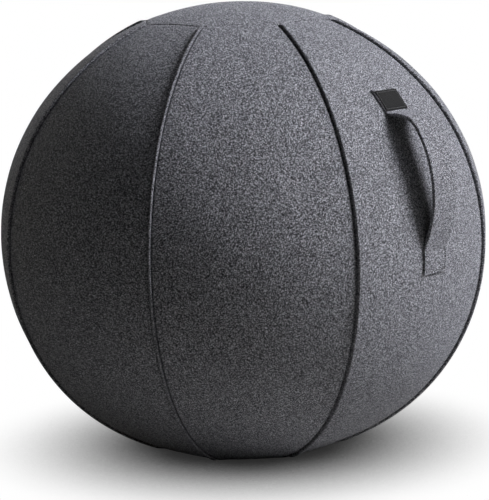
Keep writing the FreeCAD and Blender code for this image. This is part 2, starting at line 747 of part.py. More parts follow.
def zip_side(label, side):
    """One tape, lying under its panel's edge, and the row of teeth on it."""
    slope = math.tan(math.radians(size("flange_slope")))
    inner = size("chain_half_gap")
    outer = inner + size("tape_width")
    top = -tape_face
    thick = size("tape_thickness")
    tape = [(top, side * inner), (top, side * chain_side),
            (top - (outer - chain_side) * slope, side * outer),
            (top - (outer - chain_side) * slope - thick, side * outer),
            (top - thick, side * chain_side), (top - thick, side * inner)]
    teeth = [(top, side * inner), (top, side * chain_side),
             (top + size("chain_height"), side * chain_side), (top + size("chain_height"), side * inner)]
    zip_strip("zip_tape_" + label, tape, tape_low, tape_high)
    zip_strip("zip_teeth_" + label, teeth, chain_low, chain_high)


zip_side("left", 1)
zip_side("right", -1)
stop_section = [(-tape_face, -chain_side), (-tape_face, chain_side),
                (-tape_face + size("chain_height"), chain_side),
                (-tape_face + size("chain_height"), -chain_side)]
zip_strip("zip_lower_stop", stop_section, chain_low - stop_turn, chain_low)
zip_strip("zip_upper_stop", stop_section, chain_high, chain_high + stop_turn)

# Slider: a plate over the teeth with a wing each side, a thin web between the tapes and a plate behind
slider_angle = chain_low + along(size("slider_length") / 2) + gap_turn
slider_point = at(zip_centre, zip_radius, slider_angle)
slider_place = facing(zip_azimuth, (slider_point[0], 0, slider_point[1]), slider_angle)
teeth_top = -tape_face + size("chain_height")
plate_low = teeth_top + size("zip_gap")
plate_top = plate_low + size("slider_plate")
wing_in = chain_side + size("zip_gap")
wing_out = wing_in + size("slider_wing")
wing_low = -tape_face + size("zip_gap")
web = size("slider_web") / 2
back_top = -tape_face - size("tape_thickness") - 2 * size("zip_gap")
back_low = back_top - size("slider_plate")
half_section = [(plate_top, wing_out), (wing_low, wing_out), (wing_low, wing_in), (plate_low, wing_in),
                (plate_low, web), (back_top, web), (back_top, wing_out), (back_low, wing_out)]
slider = new_body("zip_slider", slider_place)
slider_sketch = new_sketch(slider, "XY_Plane")
draw(slider_sketch, polyline(half_section + [(x, -y) for x, y in half_section[::-1]]))
new_pad(slider, slider_sketch, size("slider_length"), "Sizes.slider_length")
# Two ears on the plate carry the pull's pin.
pin_rise = plate_top + size("pull_eye_radius") + 2 * size("pull_clearance")
ear_in = size("pull_neck_width") / 2 + size("zip_gap")
ear_out = wing_out - size("zip_gap")
ear_top = pin_rise + size("pull_pin_radius") + size("ear_wall")
ears = new_sketch(slider, "XY_Plane")
for side in (1, -1):
    draw(ears, polyline([(plate_top - size("zip_gap"), side * ear_in),
                         (plate_top - size("zip_gap"), side * ear_out),
                         (ear_top, side * ear_out), (ear_top, side * ear_in)]))
new_pad(slider, ears, 2 * (size("pull_pin_radius") + size("ear_wall")),
        "2 * (Sizes.pull_pin_radius + Sizes.ear_wall)")
pin = new_sketch(slider, "XZ_Plane")
pin.addGeometry(Part.Circle(FreeCAD.Vector(pin_rise, 0, 0), FreeCAD.Vector(0, 0, 1),
                            size("pull_pin_radius")), False)
mark = pin.addConstraint(Sketcher.Constraint("Radius", 0, size("pull_pin_radius")))
pin.setExpression("Constraints[%d]" % mark, "Sizes.pull_pin_radius")
new_pad(slider, pin, 2 * ear_out - size("zip_gap"),
        "2 * (Sizes.chain_half_gap + Sizes.chain_width + Sizes.slider_wing) - Sizes.zip_gap")

# Pull tab, hanging straight down from the pin
pin_point = at(slider_point, pin_rise, slider_angle)
pull = new_body("zip_pull_tab", facing(zip_azimuth, (pin_point[0], 0, pin_point[1])))
pull_half = size("pull_thickness") / 2
eye = size("pull_eye_radius")
eye_angle = math.degrees(math.asin(pull_half / eye))
neck_top = -eye * math.cos(math.radians(eye_angle))
neck_low = -size("pull_neck_length")
eye_sketch = new_sketch(pull, "XZ_Plane")
draw(eye_sketch, [
    arc((0.0, 0.0), eye, -90 + eye_angle, 270 - eye_angle, "Sizes.pull_eye_radius"),
    line((-pull_half, neck_top), (-pull_half, neck_low)),
    line((-pull_half, neck_low), (pull_half, neck_low)),
    line((pull_half, neck_low), (pull_half, neck_top)),
])
new_pad(pull, eye_sketch, size("pull_neck_width"), "Sizes.pull_neck_width")
blade_sketch = new_sketch(pull, "XZ_Plane")
blade_top = neck_low + size("pull_thickness") / 2
draw(blade_sketch, polyline([(-pull_half, blade_top), (pull_half, blade_top),
                             (pull_half, -size("pull_length")), (-pull_half, -size("pull_length"))]))
new_pad(pull, blade_sketch, size("pull_width"), "Sizes.pull_width")
hole_sketch = new_sketch(pull, "XZ_Plane")
hole_sketch.addGeometry(Part.Circle(FreeCAD.Vector(0, 0, 0), FreeCAD.Vector(0, 0, 1),
                                    size("pull_pin_radius") + size("pull_clearance")), False)
mark = hole_sketch.addConstraint(Sketcher.Constraint("Radius", 0, size("pull_pin_radius")
                                                     + size("pull_clearance")))
hole_sketch.setExpression("Constraints[%d]" % mark, "Sizes.pull_pin_radius + Sizes.pull_clearance")
hole = pull.newObject("PartDesign::Pocket", "pull_hole")
hole.Profile = hole_sketch
hole.Type = 1
hole.Midplane = True

doc.recompute()

# Everything is checked before any file is written.
NODES = (
    ["cover_panel_" + name for name in PANEL_NAMES]
    + ["seam_piping_" + name for name in SEAM_NAMES if name != SEAM_NAMES[ZIP_SEAM]]
    + ["seam_piping_%s_%s" % (SEAM_NAMES[ZIP_SEAM], end) for end in ("lower", "upper")]
    + ["cover_top_panel", "base_panel", "ballast_ring", "ring_sleeve", "bladder", "valve_seat",
       "valve_plug", "handle_upper_end", "handle_upper_bend", "handle_grip", "handle_lower_bend",
       "handle_lower_end", "label_patch", "zip_tape_left", "zip_tape_right", "zip_teeth_left",
       "zip_teeth_right", "zip_lower_stop", "zip_upper_stop", "zip_slider", "zip_pull_tab"]
)
for item in doc.Objects:
    if "Invalid" in item.State or "Error" in item.State:
        raise RuntimeError("failed object: " + item.Label)
by_label = {item.Label: item for item in doc.Objects}
for name in NODES:
    shape = by_label[name].Shape
    if shape.isNull() or not shape.isValid():
        raise RuntimeError("bad shape: " + name)

os.makedirs("parts", exist_ok=True)
for name in NODES:
    by_label[name].Shape.exportStep("parts/%s.step" % name)

# Facts for the record: joint axes, mounts and openings are read from these lines.
print("zip centre", zip_centre, "radius", zip_radius, "azimuth", zip_azimuth)
print("zip angles", chain_low, chain_high, "slider", slider_angle, "slider point", slider_point)
print("slider travel degrees", chain_high - slider_angle - along(size("slider_length") / 2) - gap_turn)
print("pull pin", pin_point)
print("handle straight", upper_straight, "bow radius", bow_radius)
print("strap start", strap_start, "end", strap_end, "bow centre", bow_run[1])
print("valve", valve_out, "azimuth", valve_azimuth)
print("equator", equator, "total height", equator + crown_rise, "seam radius", seam_radius(equator))
for name in NODES:
    shape = by_label[name].Shape
    print("%-28s %d solid(s) %12.1f mm3  z %.2f..%.2f" % (
        name, len(shape.Solids), shape.Volume, shape.BoundBox.ZMin, shape.BoundBox.ZMax))
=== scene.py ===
import math
from functools import partial

import bmesh
import bpy
from mathutils import Matrix, Vector, noise


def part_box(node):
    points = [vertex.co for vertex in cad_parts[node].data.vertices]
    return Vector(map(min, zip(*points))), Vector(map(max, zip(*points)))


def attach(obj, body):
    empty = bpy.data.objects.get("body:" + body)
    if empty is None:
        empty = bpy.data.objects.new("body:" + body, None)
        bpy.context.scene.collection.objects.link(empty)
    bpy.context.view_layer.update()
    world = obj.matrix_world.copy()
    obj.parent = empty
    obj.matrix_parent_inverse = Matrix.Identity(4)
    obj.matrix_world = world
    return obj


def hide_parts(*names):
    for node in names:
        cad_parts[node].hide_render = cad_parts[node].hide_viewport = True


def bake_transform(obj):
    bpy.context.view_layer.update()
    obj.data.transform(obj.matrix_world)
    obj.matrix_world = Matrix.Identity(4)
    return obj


# Balance ball chair in its sewn felt cover: panels, piping, handle, zip and foot, with what is inside.
# Metres and radians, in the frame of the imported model: +Z up, the handle's panel faces -Y.

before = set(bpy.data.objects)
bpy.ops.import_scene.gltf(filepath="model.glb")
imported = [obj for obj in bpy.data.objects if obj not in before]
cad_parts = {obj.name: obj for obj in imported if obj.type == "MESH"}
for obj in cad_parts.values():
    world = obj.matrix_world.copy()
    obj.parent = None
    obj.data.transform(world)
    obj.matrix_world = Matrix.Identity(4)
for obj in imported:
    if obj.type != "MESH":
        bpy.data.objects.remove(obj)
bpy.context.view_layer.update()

# Outline of the ball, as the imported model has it
BALL_RADIUS = 0.316
SIDE_SETOFF = 0.028
CROWN_LIFT = 0.0126
BASE_LIFT = 0.0102
PANEL_SETBACK = 0.126
CAP_APOTHEM = 0.1168
BASE_APOTHEM = 0.103
BASE_THICKNESS = 0.003
BASE_EDGE_RISE = 0.00064
SEAM_GAP = 0.0004
FELT = 0.0035

# Piping
BEAD_RADIUS = 0.0021
BEAD_RISE = 0.0012
BEAD_PINCH = 0.84
BEAD_GAP = 0.0002
WEB_HALF = 0.0005
FLANGE_HALF = 0.008
FLANGE_SLOPE = math.radians(6.5)

# Handle
HANDLE_WIDTH = 0.043
HANDLE_THICKNESS = 0.0045
HANDLE_SEAT_GAP = 0.0002
HANDLE_FOLD_DROP = 0.0255
HANDLE_SPAN = 0.1762
HANDLE_PAD_LENGTH = 0.033
HANDLE_TAIL = 0.004
HANDLE_FOLD_RADIUS = 0.006
HANDLE_SHOULDER_RADIUS = 0.028
HANDLE_FOOT_RADIUS = 0.0145
HANDLE_FOOT_STRAIGHT = 0.0099
FOLD_HEADING = math.radians(-6.0)
SHOULDER_HEADING = math.radians(-55.0)
FOOT_HEADING = math.radians(-110.8)
LABEL_WIDTH = 0.041
LABEL_LENGTH = 0.030
LABEL_THICKNESS = 0.0012

# Zip
ZIP_LOW = 0.042
ZIP_HIGH = 0.250
ZIP_RUN_OUT = 0.005
TAPE_WIDTH = 0.013
TAPE_THICKNESS = 0.0008
TAPE_CLEARANCE = 0.0009
CHAIN_HALF_GAP = 0.0004
CHAIN_WIDTH = 0.0025
CHAIN_HEIGHT = 0.0024
ZIP_GAP = 0.0003
SLIDER_WING = 0.001

PANEL_NAMES = ("front", "front_right", "right", "back_right", "back", "back_left", "left", "front_left")
SEAM_NAMES = ("front_right", "right_front", "right_back", "back_right",
              "back_left", "left_back", "left_front", "front_left")
STEP = math.tau / len(PANEL_NAMES)
HALF = STEP / 2
ZIP_SEAM = 3

SIDE_RADIUS = BALL_RADIUS - SIDE_SETOFF
CROWN_RISE = SIDE_RADIUS + CROWN_LIFT
BASE_FALL = SIDE_RADIUS + BASE_LIFT


def end_arc_radius(lift):
    """Radius of the arc that leaves the side arc smoothly and ends level on the axis."""
    return SIDE_RADIUS + lift / 2 + SIDE_SETOFF ** 2 / (2 * lift)


CROWN_RADIUS = end_arc_radius(CROWN_LIFT)
BASE_RADIUS = end_arc_radius(BASE_LIFT)
EQUATOR = (BASE_FALL - BASE_RADIUS + BASE_EDGE_RISE
           + math.sqrt(BASE_RADIUS ** 2 - (BASE_APOTHEM + SEAM_GAP) ** 2))
CROWN_JOIN = math.atan2(CROWN_RADIUS - CROWN_RISE, SIDE_SETOFF)
BASE_JOIN = -math.atan2(BASE_RADIUS - BASE_FALL, SIDE_SETOFF)


def outline(turn):
    """Radius and height of a panel's middle line where it faces this far above level."""
    if turn > CROWN_JOIN:
        centre, radius = (0.0, EQUATOR + CROWN_RISE - CROWN_RADIUS), CROWN_RADIUS
    elif turn < BASE_JOIN:
        centre, radius = (0.0, EQUATOR - BASE_FALL + BASE_RADIUS), BASE_RADIUS
    else:
        centre, radius = (SIDE_SETOFF, EQUATOR), SIDE_RADIUS
    return centre[0] + radius * math.cos(turn), centre[1] + radius * math.sin(turn)


def outward(azimuth):
    return Vector((math.sin(azimuth), -math.cos(azimuth), 0.0))


def sideways(azimuth):
    return Vector((math.cos(azimuth), math.sin(azimuth), 0.0))


UP = Vector((0.0, 0.0, 1.0))


def smooth(share):
    share = min(max(share, 0.0), 1.0)
    return share * share * (3 - 2 * share)


# Mesh helpers
SAME_POINT = 1e-7
PROFILE_WELD = 1e-6
POLE_WELD = 1e-5


def mesh_from(bm, name):
    mesh = bpy.data.meshes.new(name)
    bm.to_mesh(mesh)
    bm.free()
    return mesh


def add_object(name, data):
    """Object in the scene for a mesh, a lamp or a camera."""
    made = bpy.data.objects.new(name, data)
    bpy.context.scene.collection.objects.link(made)
    return made


def copy_in(bm, pattern):
    """Add a copy of a small mesh and return its vertices."""
    before = len(bm.verts)
    bm.from_mesh(pattern)
    bm.verts.ensure_lookup_table()
    return bm.verts[before:]


def mapped_grid(bm, columns, rows, place):
    """Grid of columns by rows points, each moved to place(column, row)."""
    made = bmesh.ops.create_grid(bm, x_segments=columns - 1, y_segments=rows - 1, size=0.5)["verts"]
    for vert in made:
        column = round((vert.co.x + 0.5) * (columns - 1))
        row = round((vert.co.y + 0.5) * (rows - 1))
        vert.co = place(column, row)


def finish_mesh(bm, name, body, material, smooth_shading=True, node_names=(), weld=0.0):
    """Make the object at the origin, give it its finish and let it ride on its body."""
    if weld:
        bmesh.ops.remove_doubles(bm, verts=bm.verts, dist=weld)
    bmesh.ops.recalc_face_normals(bm, faces=bm.faces)
    piece = add_object(name, mesh_from(bm, name))
    for polygon in piece.data.polygons:
        polygon.use_smooth = smooth_shading
    piece.data.materials.append(material)
    if body:
        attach(piece, body)
    if node_names:
        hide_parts(*node_names)
    return piece


def closed_sheet(columns, rows, place, outer, inner):
    """Cloth with a thickness: place(column, row, depth) at two depths, and the rim between them."""
    bm = bmesh.new()
    mapped_grid(bm, columns, rows, lambda column, row: place(column, row, outer))
    outer_faces = set(bm.faces)
    rim = [edge for edge in bm.edges if edge.is_boundary]
    mapped_grid(bm, columns, rows, lambda column, row: place(column, row, inner))
    bmesh.ops.reverse_faces(bm, faces=[face for face in bm.faces if face not in outer_faces])
    outer_rim = set(rim)
    rim += [edge for edge in bm.edges if edge.is_boundary and edge not in outer_rim]
    bmesh.ops.bridge_loops(bm, edges=rim)
    return bm


def swept_tube(section, stations, name, body, material, node_names=(), crisp_ends=False):
    """A closed section carried along stations, each a function from the section's two numbers to a point."""
    bm = bmesh.new()
    count = len(section)
    mapped_grid(bm, count + 1, len(stations), lambda column, row: stations[row](*section[column % count]))
    bmesh.ops.remove_doubles(bm, verts=bm.verts, dist=SAME_POINT)
    rims = [edge for edge in bm.edges if edge.is_boundary]
    if crisp_ends:
        for edge in rims:
            edge.smooth = False
    bmesh.ops.holes_fill(bm, edges=rims, sides=0)
    return finish_mesh(bm, name, body, material, node_names=node_names)


def even_stations(place, start, end, spacing):
    """Stations for a swept tube, from place(distance, across, up) and two distances."""
    steps = round((end - start) / spacing)
    return [partial(place, start + (end - start) * i / steps) for i in range(steps + 1)]


# Shader helpers
def link(tree, source, target):
    tree.links.new(source, target)


def feed(tree, socket, value):
    """Give a socket a number, a colour or what another node puts out."""
    if isinstance(value, (int, float)):
        socket.default_value = value
    elif isinstance(value, tuple):
        socket.default_value = (*value, 1.0)
    else:
        link(tree, value, socket)


def add_node(tree, kind, **settings):
    node = tree.nodes.new(kind)
    for key, value in settings.items():
        setattr(node, key, value)
    return node


def set_inputs(node, **values):
    for key, value in values.items():
        node.inputs[key.replace("_", " ")].default_value = value


def noise_node(tree, vector, scale, detail, roughness=0.6, distortion=0.0):
    texture = add_node(tree, "ShaderNodeTexNoise")
    set_inputs(texture, Detail=detail, Roughness=roughness, Distortion=distortion)
    feed(tree, texture.inputs["Scale"], scale)
    link(tree, vector, texture.inputs["Vector"])
    return texture.outputs["Fac"]


def remap(tree, value, low, high, out_low=0.0, out_high=1.0):
    node = add_node(tree, "ShaderNodeMapRange", interpolation_type="SMOOTHSTEP")
    for index, number in enumerate((low, high, out_low, out_high), start=1):
        node.inputs[index].default_value = number
    link(tree, value, node.inputs[0])
    return node.outputs[0]


def math_node(tree, operation, a, b):
    node = add_node(tree, "ShaderNodeMath", operation=operation)
    feed(tree, node.inputs[0], a)
    feed(tree, node.inputs[1], b)
    return node.outputs[0]


def mix_colours(tree, factor, a, b):
    node = add_node(tree, "ShaderNodeMix", data_type="RGBA")
    for index, value in ((0, factor), (6, a), (7, b)):
        feed(tree, node.inputs[index], value)
    return node.outputs[2]


def new_group(name, inputs, outputs):
    """Node group with named inputs and outputs, and its two end nodes."""
    group = bpy.data.node_groups.new(name, "ShaderNodeTree")
    for kind, label, default in inputs:
        socket = group.interface.new_socket(label, in_out="INPUT", socket_type=kind)
        if default is not None:
            socket.default_value = default
    for kind, label in outputs:
        group.interface.new_socket(label, in_out="OUTPUT", socket_type=kind)
    return group, add_node(group, "NodeGroupInput"), add_node(group, "NodeGroupOutput")


def grey(level, blue=1.0):
    """Linear colour of a grey given as it looks on a screen, from 0 to 255."""
    value = level / 255
    linear = value / 12.92 if value <= 0.04045 else ((value + 0.055) / 1.055) ** 2.4
    return (linear, linear, linear * blue)


# Felt: light and dark wool fibres pressed together, seen as a fine mottle with short streaks in it
STREAK_LENGTH = 2.2
STREAK_FINENESS = 1.5
STREAK_EDGE = (0.6, 0.68)
MOTTLE_EDGE = (0.44, 0.56)
PATCHES_PER_METRE = 26.0
# Fibres lie in every direction, so streaks drawn out along four directions are laid over each other.
STREAK_TURNS = (((0.3, 0.5, 0.2), 1.0), ((1.2, 0.1, 1.0), 0.9), ((0.4, 1.3, 2.0), 1.1),
                ((2.1, 0.8, 0.4), 1.05))


def build_felt_group():
    group, start, end = new_group(
        "pressed_wool",
        [("NodeSocketVector", "Vector", None),
         ("NodeSocketColor", "Dark", (0.02, 0.02, 0.02, 1)),
         ("NodeSocketColor", "Middle", (0.1, 0.1, 0.1, 1)),
         ("NodeSocketColor", "Light", (0.3, 0.3, 0.3, 1)),
         ("NodeSocketFloat", "Grain", 520.0)],
        [("NodeSocketColor", "Colour"), ("NodeSocketFloat", "Height"), ("NodeSocketFloat", "Fuzz")])
    vector, grain = start.outputs["Vector"], start.outputs["Grain"]
    fineness = math_node(group, "MULTIPLY", grain, STREAK_FINENESS)
    streaks = None
    for turn, stretch in STREAK_TURNS:
        mapping = add_node(group, "ShaderNodeMapping", vector_type="TEXTURE")
        set_inputs(mapping, Rotation=turn, Scale=(stretch, stretch, STREAK_LENGTH * stretch))
        link(group, vector, mapping.inputs["Vector"])
        ridge = remap(group, noise_node(group, mapping.outputs[0], fineness, 1.5, 0.5, 0.6), *STREAK_EDGE)
        streaks = ridge if streaks is None else math_node(group, "MAXIMUM", streaks, ridge)
    patches = noise_node(group, vector, PATCHES_PER_METRE, 3.0)
    mottle = remap(group, noise_node(group, vector, grain, 1.0, 0.5), *MOTTLE_EDGE)
    darks = mix_colours(group, mottle, start.outputs["Dark"], start.outputs["Middle"])
    light_share = math_node(group, "MULTIPLY", streaks, remap(group, patches, 0.2, 0.8, 0.9, 1.0))
    colour = mix_colours(group, light_share, darks, start.outputs["Light"])
    height = math_node(group, "ADD", math_node(group, "MULTIPLY", mottle, 0.6), streaks)
    link(group, colour, end.inputs["Colour"])
    link(group, height, end.inputs["Height"])
    link(group, remap(group, patches, 0.3, 0.7, 0.85, 1.0), end.inputs["Fuzz"])
    return group


def new_material(name, roughness, **settings):
    """Material with a shader whose plain values are set on its own sockets."""
    material = bpy.data.materials.new(name)
    material.use_nodes = True
    tree = material.node_tree
    shader = tree.nodes["Principled BSDF"]
    set_inputs(shader, Roughness=roughness, **settings)
    return material, tree, shader


def object_coordinates(tree):
    return add_node(tree, "ShaderNodeTexCoord").outputs["Object"]


def bump(tree, shader, height, distance, strength=1.0):
    node = add_node(tree, "ShaderNodeBump")
    set_inputs(node, Strength=strength, Distance=distance)
    link(tree, height, node.inputs["Height"])
    link(tree, node.outputs[0], shader.inputs["Normal"])


FELT_GROUP = build_felt_group()


def felt_material(name, dark, middle, light, grain=700.0):
    material, tree, shader = new_material(name, 0.95, Sheen_Weight=0.25, Sheen_Roughness=0.6,
                                          Specular_IOR_Level=0.15)
    shader.inputs["Sheen Tint"].default_value = (0.86, 0.88, 1.0, 1.0)
    felt = add_node(tree, "ShaderNodeGroup", node_tree=FELT_GROUP)
    link(tree, object_coordinates(tree), felt.inputs["Vector"])
    for key, value in (("Dark", dark), ("Middle", middle), ("Light", light), ("Grain", grain)):
        feed(tree, felt.inputs[key], value)
    link(tree, felt.outputs["Colour"], shader.inputs["Base Color"])
    link(tree, felt.outputs["Fuzz"], shader.inputs["Roughness"])
    bump(tree, shader, felt.outputs["Height"], 0.0006, 0.6)
    return material


cover_felt = felt_material("cover_felt", grey(3), grey(84, 1.02), grey(248, 1.05))
piping_felt = felt_material("piping_felt", grey(3), grey(80, 1.02), grey(236, 1.05), grain=780.0)
handle_felt = felt_material("handle_felt", grey(3), grey(84, 1.02), grey(248, 1.05))


def thread_material():
    material, tree, shader = new_material("stitching_thread", 0.6, Sheen_Weight=0.3)
    twist = add_node(tree, "ShaderNodeTexWave", wave_type="BANDS", bands_direction="DIAGONAL")
    set_inputs(twist, Scale=900.0, Distortion=1.0)
    link(tree, object_coordinates(tree), twist.inputs["Vector"])
    link(tree, mix_colours(tree, twist.outputs["Fac"], grey(44), grey(84)), shader.inputs["Base Color"])
    bump(tree, shader, twist.outputs["Fac"], 0.0001)
    return material


def build_weave_group():
    """Plain weave: two crossed bands of threads that pass over each other, worn in patches."""
    group, start, end = new_group(
        "plain_weave", [("NodeSocketVector", "Vector", None), ("NodeSocketFloat", "Scale", 260.0)],
        [("NodeSocketFloat", "Height")])
    vector = start.outputs["Vector"]
    threads = []
    for direction in ("X", "Z"):
        band = add_node(group, "ShaderNodeTexWave", wave_type="BANDS", bands_direction=direction)
        set_inputs(band, Distortion=0.4, Detail=1.0)
        link(group, start.outputs["Scale"], band.inputs["Scale"])
        link(group, vector, band.inputs["Vector"])
        threads.append(band.outputs["Fac"])
    weave = math_node(group, "MULTIPLY", threads[0], threads[1])
    wear = noise_node(group, vector, 60.0, 4.0)
    link(group, math_node(group, "ADD", weave, math_node(group, "MULTIPLY", wear, 0.3)), end.inputs["Height"])
    return group


def build_grain_group():
    """Fine grain and worn patches of a moulded, cast or enamelled piece."""
    group, start, end = new_group(
        "grain_and_wear", [("NodeSocketVector", "Vector", None), ("NodeSocketFloat", "Grain", 700.0)],
        [("NodeSocketFloat", "Height"), ("NodeSocketFloat", "Wear")])
    vector = start.outputs["Vector"]
    link(group, noise_node(group, vector, start.outputs["Grain"], 2.0), end.inputs["Height"])
    link(group, noise_node(group, vector, 45.0, 5.0), end.inputs["Wear"])
    return group


WEAVE_GROUP, GRAIN_GROUP = build_weave_group(), build_grain_group()


def woven_material(name, dark, light, scale, sheen=0.15):
    material, tree, shader = new_material(name, 0.8, Sheen_Weight=sheen, Specular_IOR_Level=0.2)
    weave = add_node(tree, "ShaderNodeGroup", node_tree=WEAVE_GROUP)
    link(tree, object_coordinates(tree), weave.inputs["Vector"])
    feed(tree, weave.inputs["Scale"], scale)
    height = weave.outputs["Height"]
    link(tree, mix_colours(tree, remap(tree, height, 0.1, 1.0), dark, light), shader.inputs["Base Color"])
    bump(tree, shader, height, 0.0002)
    return material


def moulded_material(name, colour, roughness, grain=700.0, distance=0.00005, metallic=0.0):
    """Plastic, rubber or enamel with a fine grain, worn a little lighter in patches."""
    material, tree, shader = new_material(name, roughness, Metallic=metallic)
    surface = add_node(tree, "ShaderNodeGroup", node_tree=GRAIN_GROUP)
    link(tree, object_coordinates(tree), surface.inputs["Vector"])
    feed(tree, surface.inputs["Grain"], grain)
    wear = surface.outputs["Wear"]
    lighter = tuple(min(1.0, c * 1.35 + 0.01) for c in colour)
    link(tree, mix_colours(tree, remap(tree, wear, 0.4, 0.75), colour, lighter), shader.inputs["Base Color"])
    link(tree, remap(tree, wear, 0.3, 0.7, roughness - 0.08, roughness + 0.08), shader.inputs["Roughness"])
    bump(tree, shader, surface.outputs["Height"], distance)
    return material


thread = thread_material()
label_cloth = woven_material("label_cloth", grey(10), grey(30), 420.0, sheen=0.02)
base_cloth = woven_material("base_cloth", grey(22), grey(44), 260.0)
# Dark sheet on the strap's inner face: painted shade for the black hollow between the strap and the ball.
strap_painted_shade = woven_material("strap_painted_shade", grey(10), grey(26), 420.0, sheen=0.0)
lining_cloth = woven_material("lining_cloth", grey(28), grey(52), 260.0)
tape_cloth = woven_material("tape_cloth", grey(30), grey(56), 380.0)
grip_rubber = moulded_material("grip_rubber", grey(38), 0.75)
ball_vinyl = moulded_material("ball_vinyl", grey(96, 1.1), 0.45, grain=300.0)
valve_vinyl = moulded_material("valve_vinyl", grey(215), 0.4)
zip_nylon = moulded_material("zip_nylon", grey(36), 0.4)
zip_enamel = moulded_material("zip_enamel", grey(34), 0.35)
cast_iron = moulded_material("cast_iron", grey(70), 0.6, grain=350.0, distance=0.0003, metallic=0.9)


# Cover panels
# The bead lies against the panel on its right, so the groove shows on its left.
GROOVE_WIDTH = 0.0006
CLOSE_SIDE = BEAD_RADIUS + BEAD_GAP
GROOVE_HALF = CLOSE_SIDE + GROOVE_WIDTH
BEAD_SHIFT = 0.0003
ZIP_HALF = CHAIN_HALF_GAP + CHAIN_WIDTH + SLIDER_WING + 2 * ZIP_GAP
ZIP_END_EASE = 0.004
EDGE_ROLL = 0.0030
CLOSE_ROLL = 0.0014
CAP_ROLL = 0.0022
FELT_INSIDE = 0.0034
# How far the columns beside a seam, and the rows beside the top panel and the foot, lie from the edge
EDGE_STEPS = (0.0, 0.0002, 0.0005, 0.0009, 0.0014, 0.0022, 0.0035, 0.0055, 0.0085)
MIDDLE_COLUMNS = 41
MIDDLE_ROWS = 150
THINNEST_EDGE = 0.0005
# Slight unevenness of the stretched cover: waves per metre and height, and how far from an edge it is whole
SWAY = ((9.0, 0.0009), (24.0, 0.0004))
SWAY_FROM_EDGE = 0.03
# Small puckers where the seam gathers the felt
PUCKER_HEIGHT = 0.00028
PUCKER_REACH = 0.007
PUCKERS_PER_RADIAN = 42.0


def sway(point):
    return sum(noise.noise(point * scale) * height for scale, height in SWAY)


def from_panel_middle(azimuth):
    """Angle from the middle of the nearest panel."""
    return (azimuth + HALF) % STEP - HALF


def panel_reach(radius, groove=GROOVE_HALF):
    """Half angle that a panel turns through about its own axis, up to the groove, at a radius."""
    return HALF - math.asin((groove + PANEL_SETBACK * math.sin(HALF)) / (radius + PANEL_SETBACK))


def straight_edge_turn(share, apothem, end_radius, sign):
    """Turn at which a column of the panel meets the straight seam at an apothem."""
    radius = apothem
    for _ in range(8):
        radius = (apothem + PANEL_SETBACK) / math.cos(share * panel_reach(radius)) - PANEL_SETBACK
    return sign * math.acos(radius / end_radius)


def roll(distance, radius):
    """How far a felt edge has turned down at a distance from it."""
    if distance >= radius:
        return 0.0
    return radius - math.sqrt(radius ** 2 - (radius - max(distance, 0.0)) ** 2)


def spread_steps(length, middle):
    """Distances along a length: close together at both ends and even between them."""
    last = EDGE_STEPS[-1]
    even = [last + (length - 2 * last) * i / (middle - 1) for i in range(1, middle - 1)]
    return list(EDGE_STEPS) + even + [length - step for step in EDGE_STEPS[::-1]]


widest = panel_reach(BALL_RADIUS) * (BALL_RADIUS + PANEL_SETBACK)
COLUMN_SHARES = [step / widest - 1 for step in spread_steps(2 * widest, MIDDLE_COLUMNS)]
COLUMN_ENDS = [(straight_edge_turn(share, BASE_APOTHEM + SEAM_GAP, BASE_RADIUS, -1),
                straight_edge_turn(share, CAP_APOTHEM + SEAM_GAP, CROWN_RADIUS, 1))
               for share in COLUMN_SHARES]
COLUMN_TURNS = [[low + step / BASE_RADIUS for step in spread_steps((high - low) * BASE_RADIUS, MIDDLE_ROWS)]
                for low, high in COLUMN_ENDS]


def groove_beside(index, share, height):
    """Half width of the groove on one side of a panel: wider along the zip."""
    zip_side = (index == ZIP_SEAM and share > 0) or (index == ZIP_SEAM + 1 and share < 0)
    plain = GROOVE_HALF if share > 0 else CLOSE_SIDE
    if not zip_side:
        return plain
    low, high = ZIP_LOW - ZIP_RUN_OUT, ZIP_HIGH + ZIP_RUN_OUT
    open_share = smooth((height - low) / ZIP_END_EASE) * smooth((high - height) / ZIP_END_EASE)
    return plain + (ZIP_HALF - plain) * open_share


def panel_point(index, column, row, depth):
    """Point of a panel's outer face, or of its inner face at a depth."""
    azimuth = index * STEP
    out, side = outward(azimuth), sideways(azimuth)
    share = COLUMN_SHARES[column]
    low, high = COLUMN_ENDS[column]
    turn = COLUMN_TURNS[column][row]
    radius, height = outline(turn)
    reach = panel_reach(radius, groove_beside(index, share, height))
    angle = share * reach
    arm = radius + PANEL_SETBACK
    normal = (out * math.cos(angle) + side * math.sin(angle)) * math.cos(turn) + UP * math.sin(turn)
    point = out * (arm * math.cos(angle) - PANEL_SETBACK) + side * (arm * math.sin(angle)) + UP * height
    if depth:
        return point - normal * depth
    beside_seam = (reach - abs(angle)) * arm
    below_cap = (high - turn) * CROWN_RADIUS
    above_base = (turn - low) * BASE_RADIUS
    drop = (roll(beside_seam, EDGE_ROLL if share > 0 else CLOSE_ROLL) + roll(below_cap, CAP_ROLL)
            + roll(above_base, CAP_ROLL))
    free = (smooth(beside_seam / SWAY_FROM_EDGE) * smooth(below_cap / SWAY_FROM_EDGE)
            * smooth(above_base / SWAY_FROM_EDGE))
    gather = math.exp(-beside_seam / PUCKER_REACH) * PUCKER_HEIGHT
    pucker = gather * noise.noise(Vector((turn * PUCKERS_PER_RADIAN, index * 3.1, 2.0 if share > 0 else 7.0)))
    drop = min(drop, FELT_INSIDE - THINNEST_EDGE)
    return point + normal * (sway(point) * free + pucker * smooth(beside_seam / 0.002) - drop)


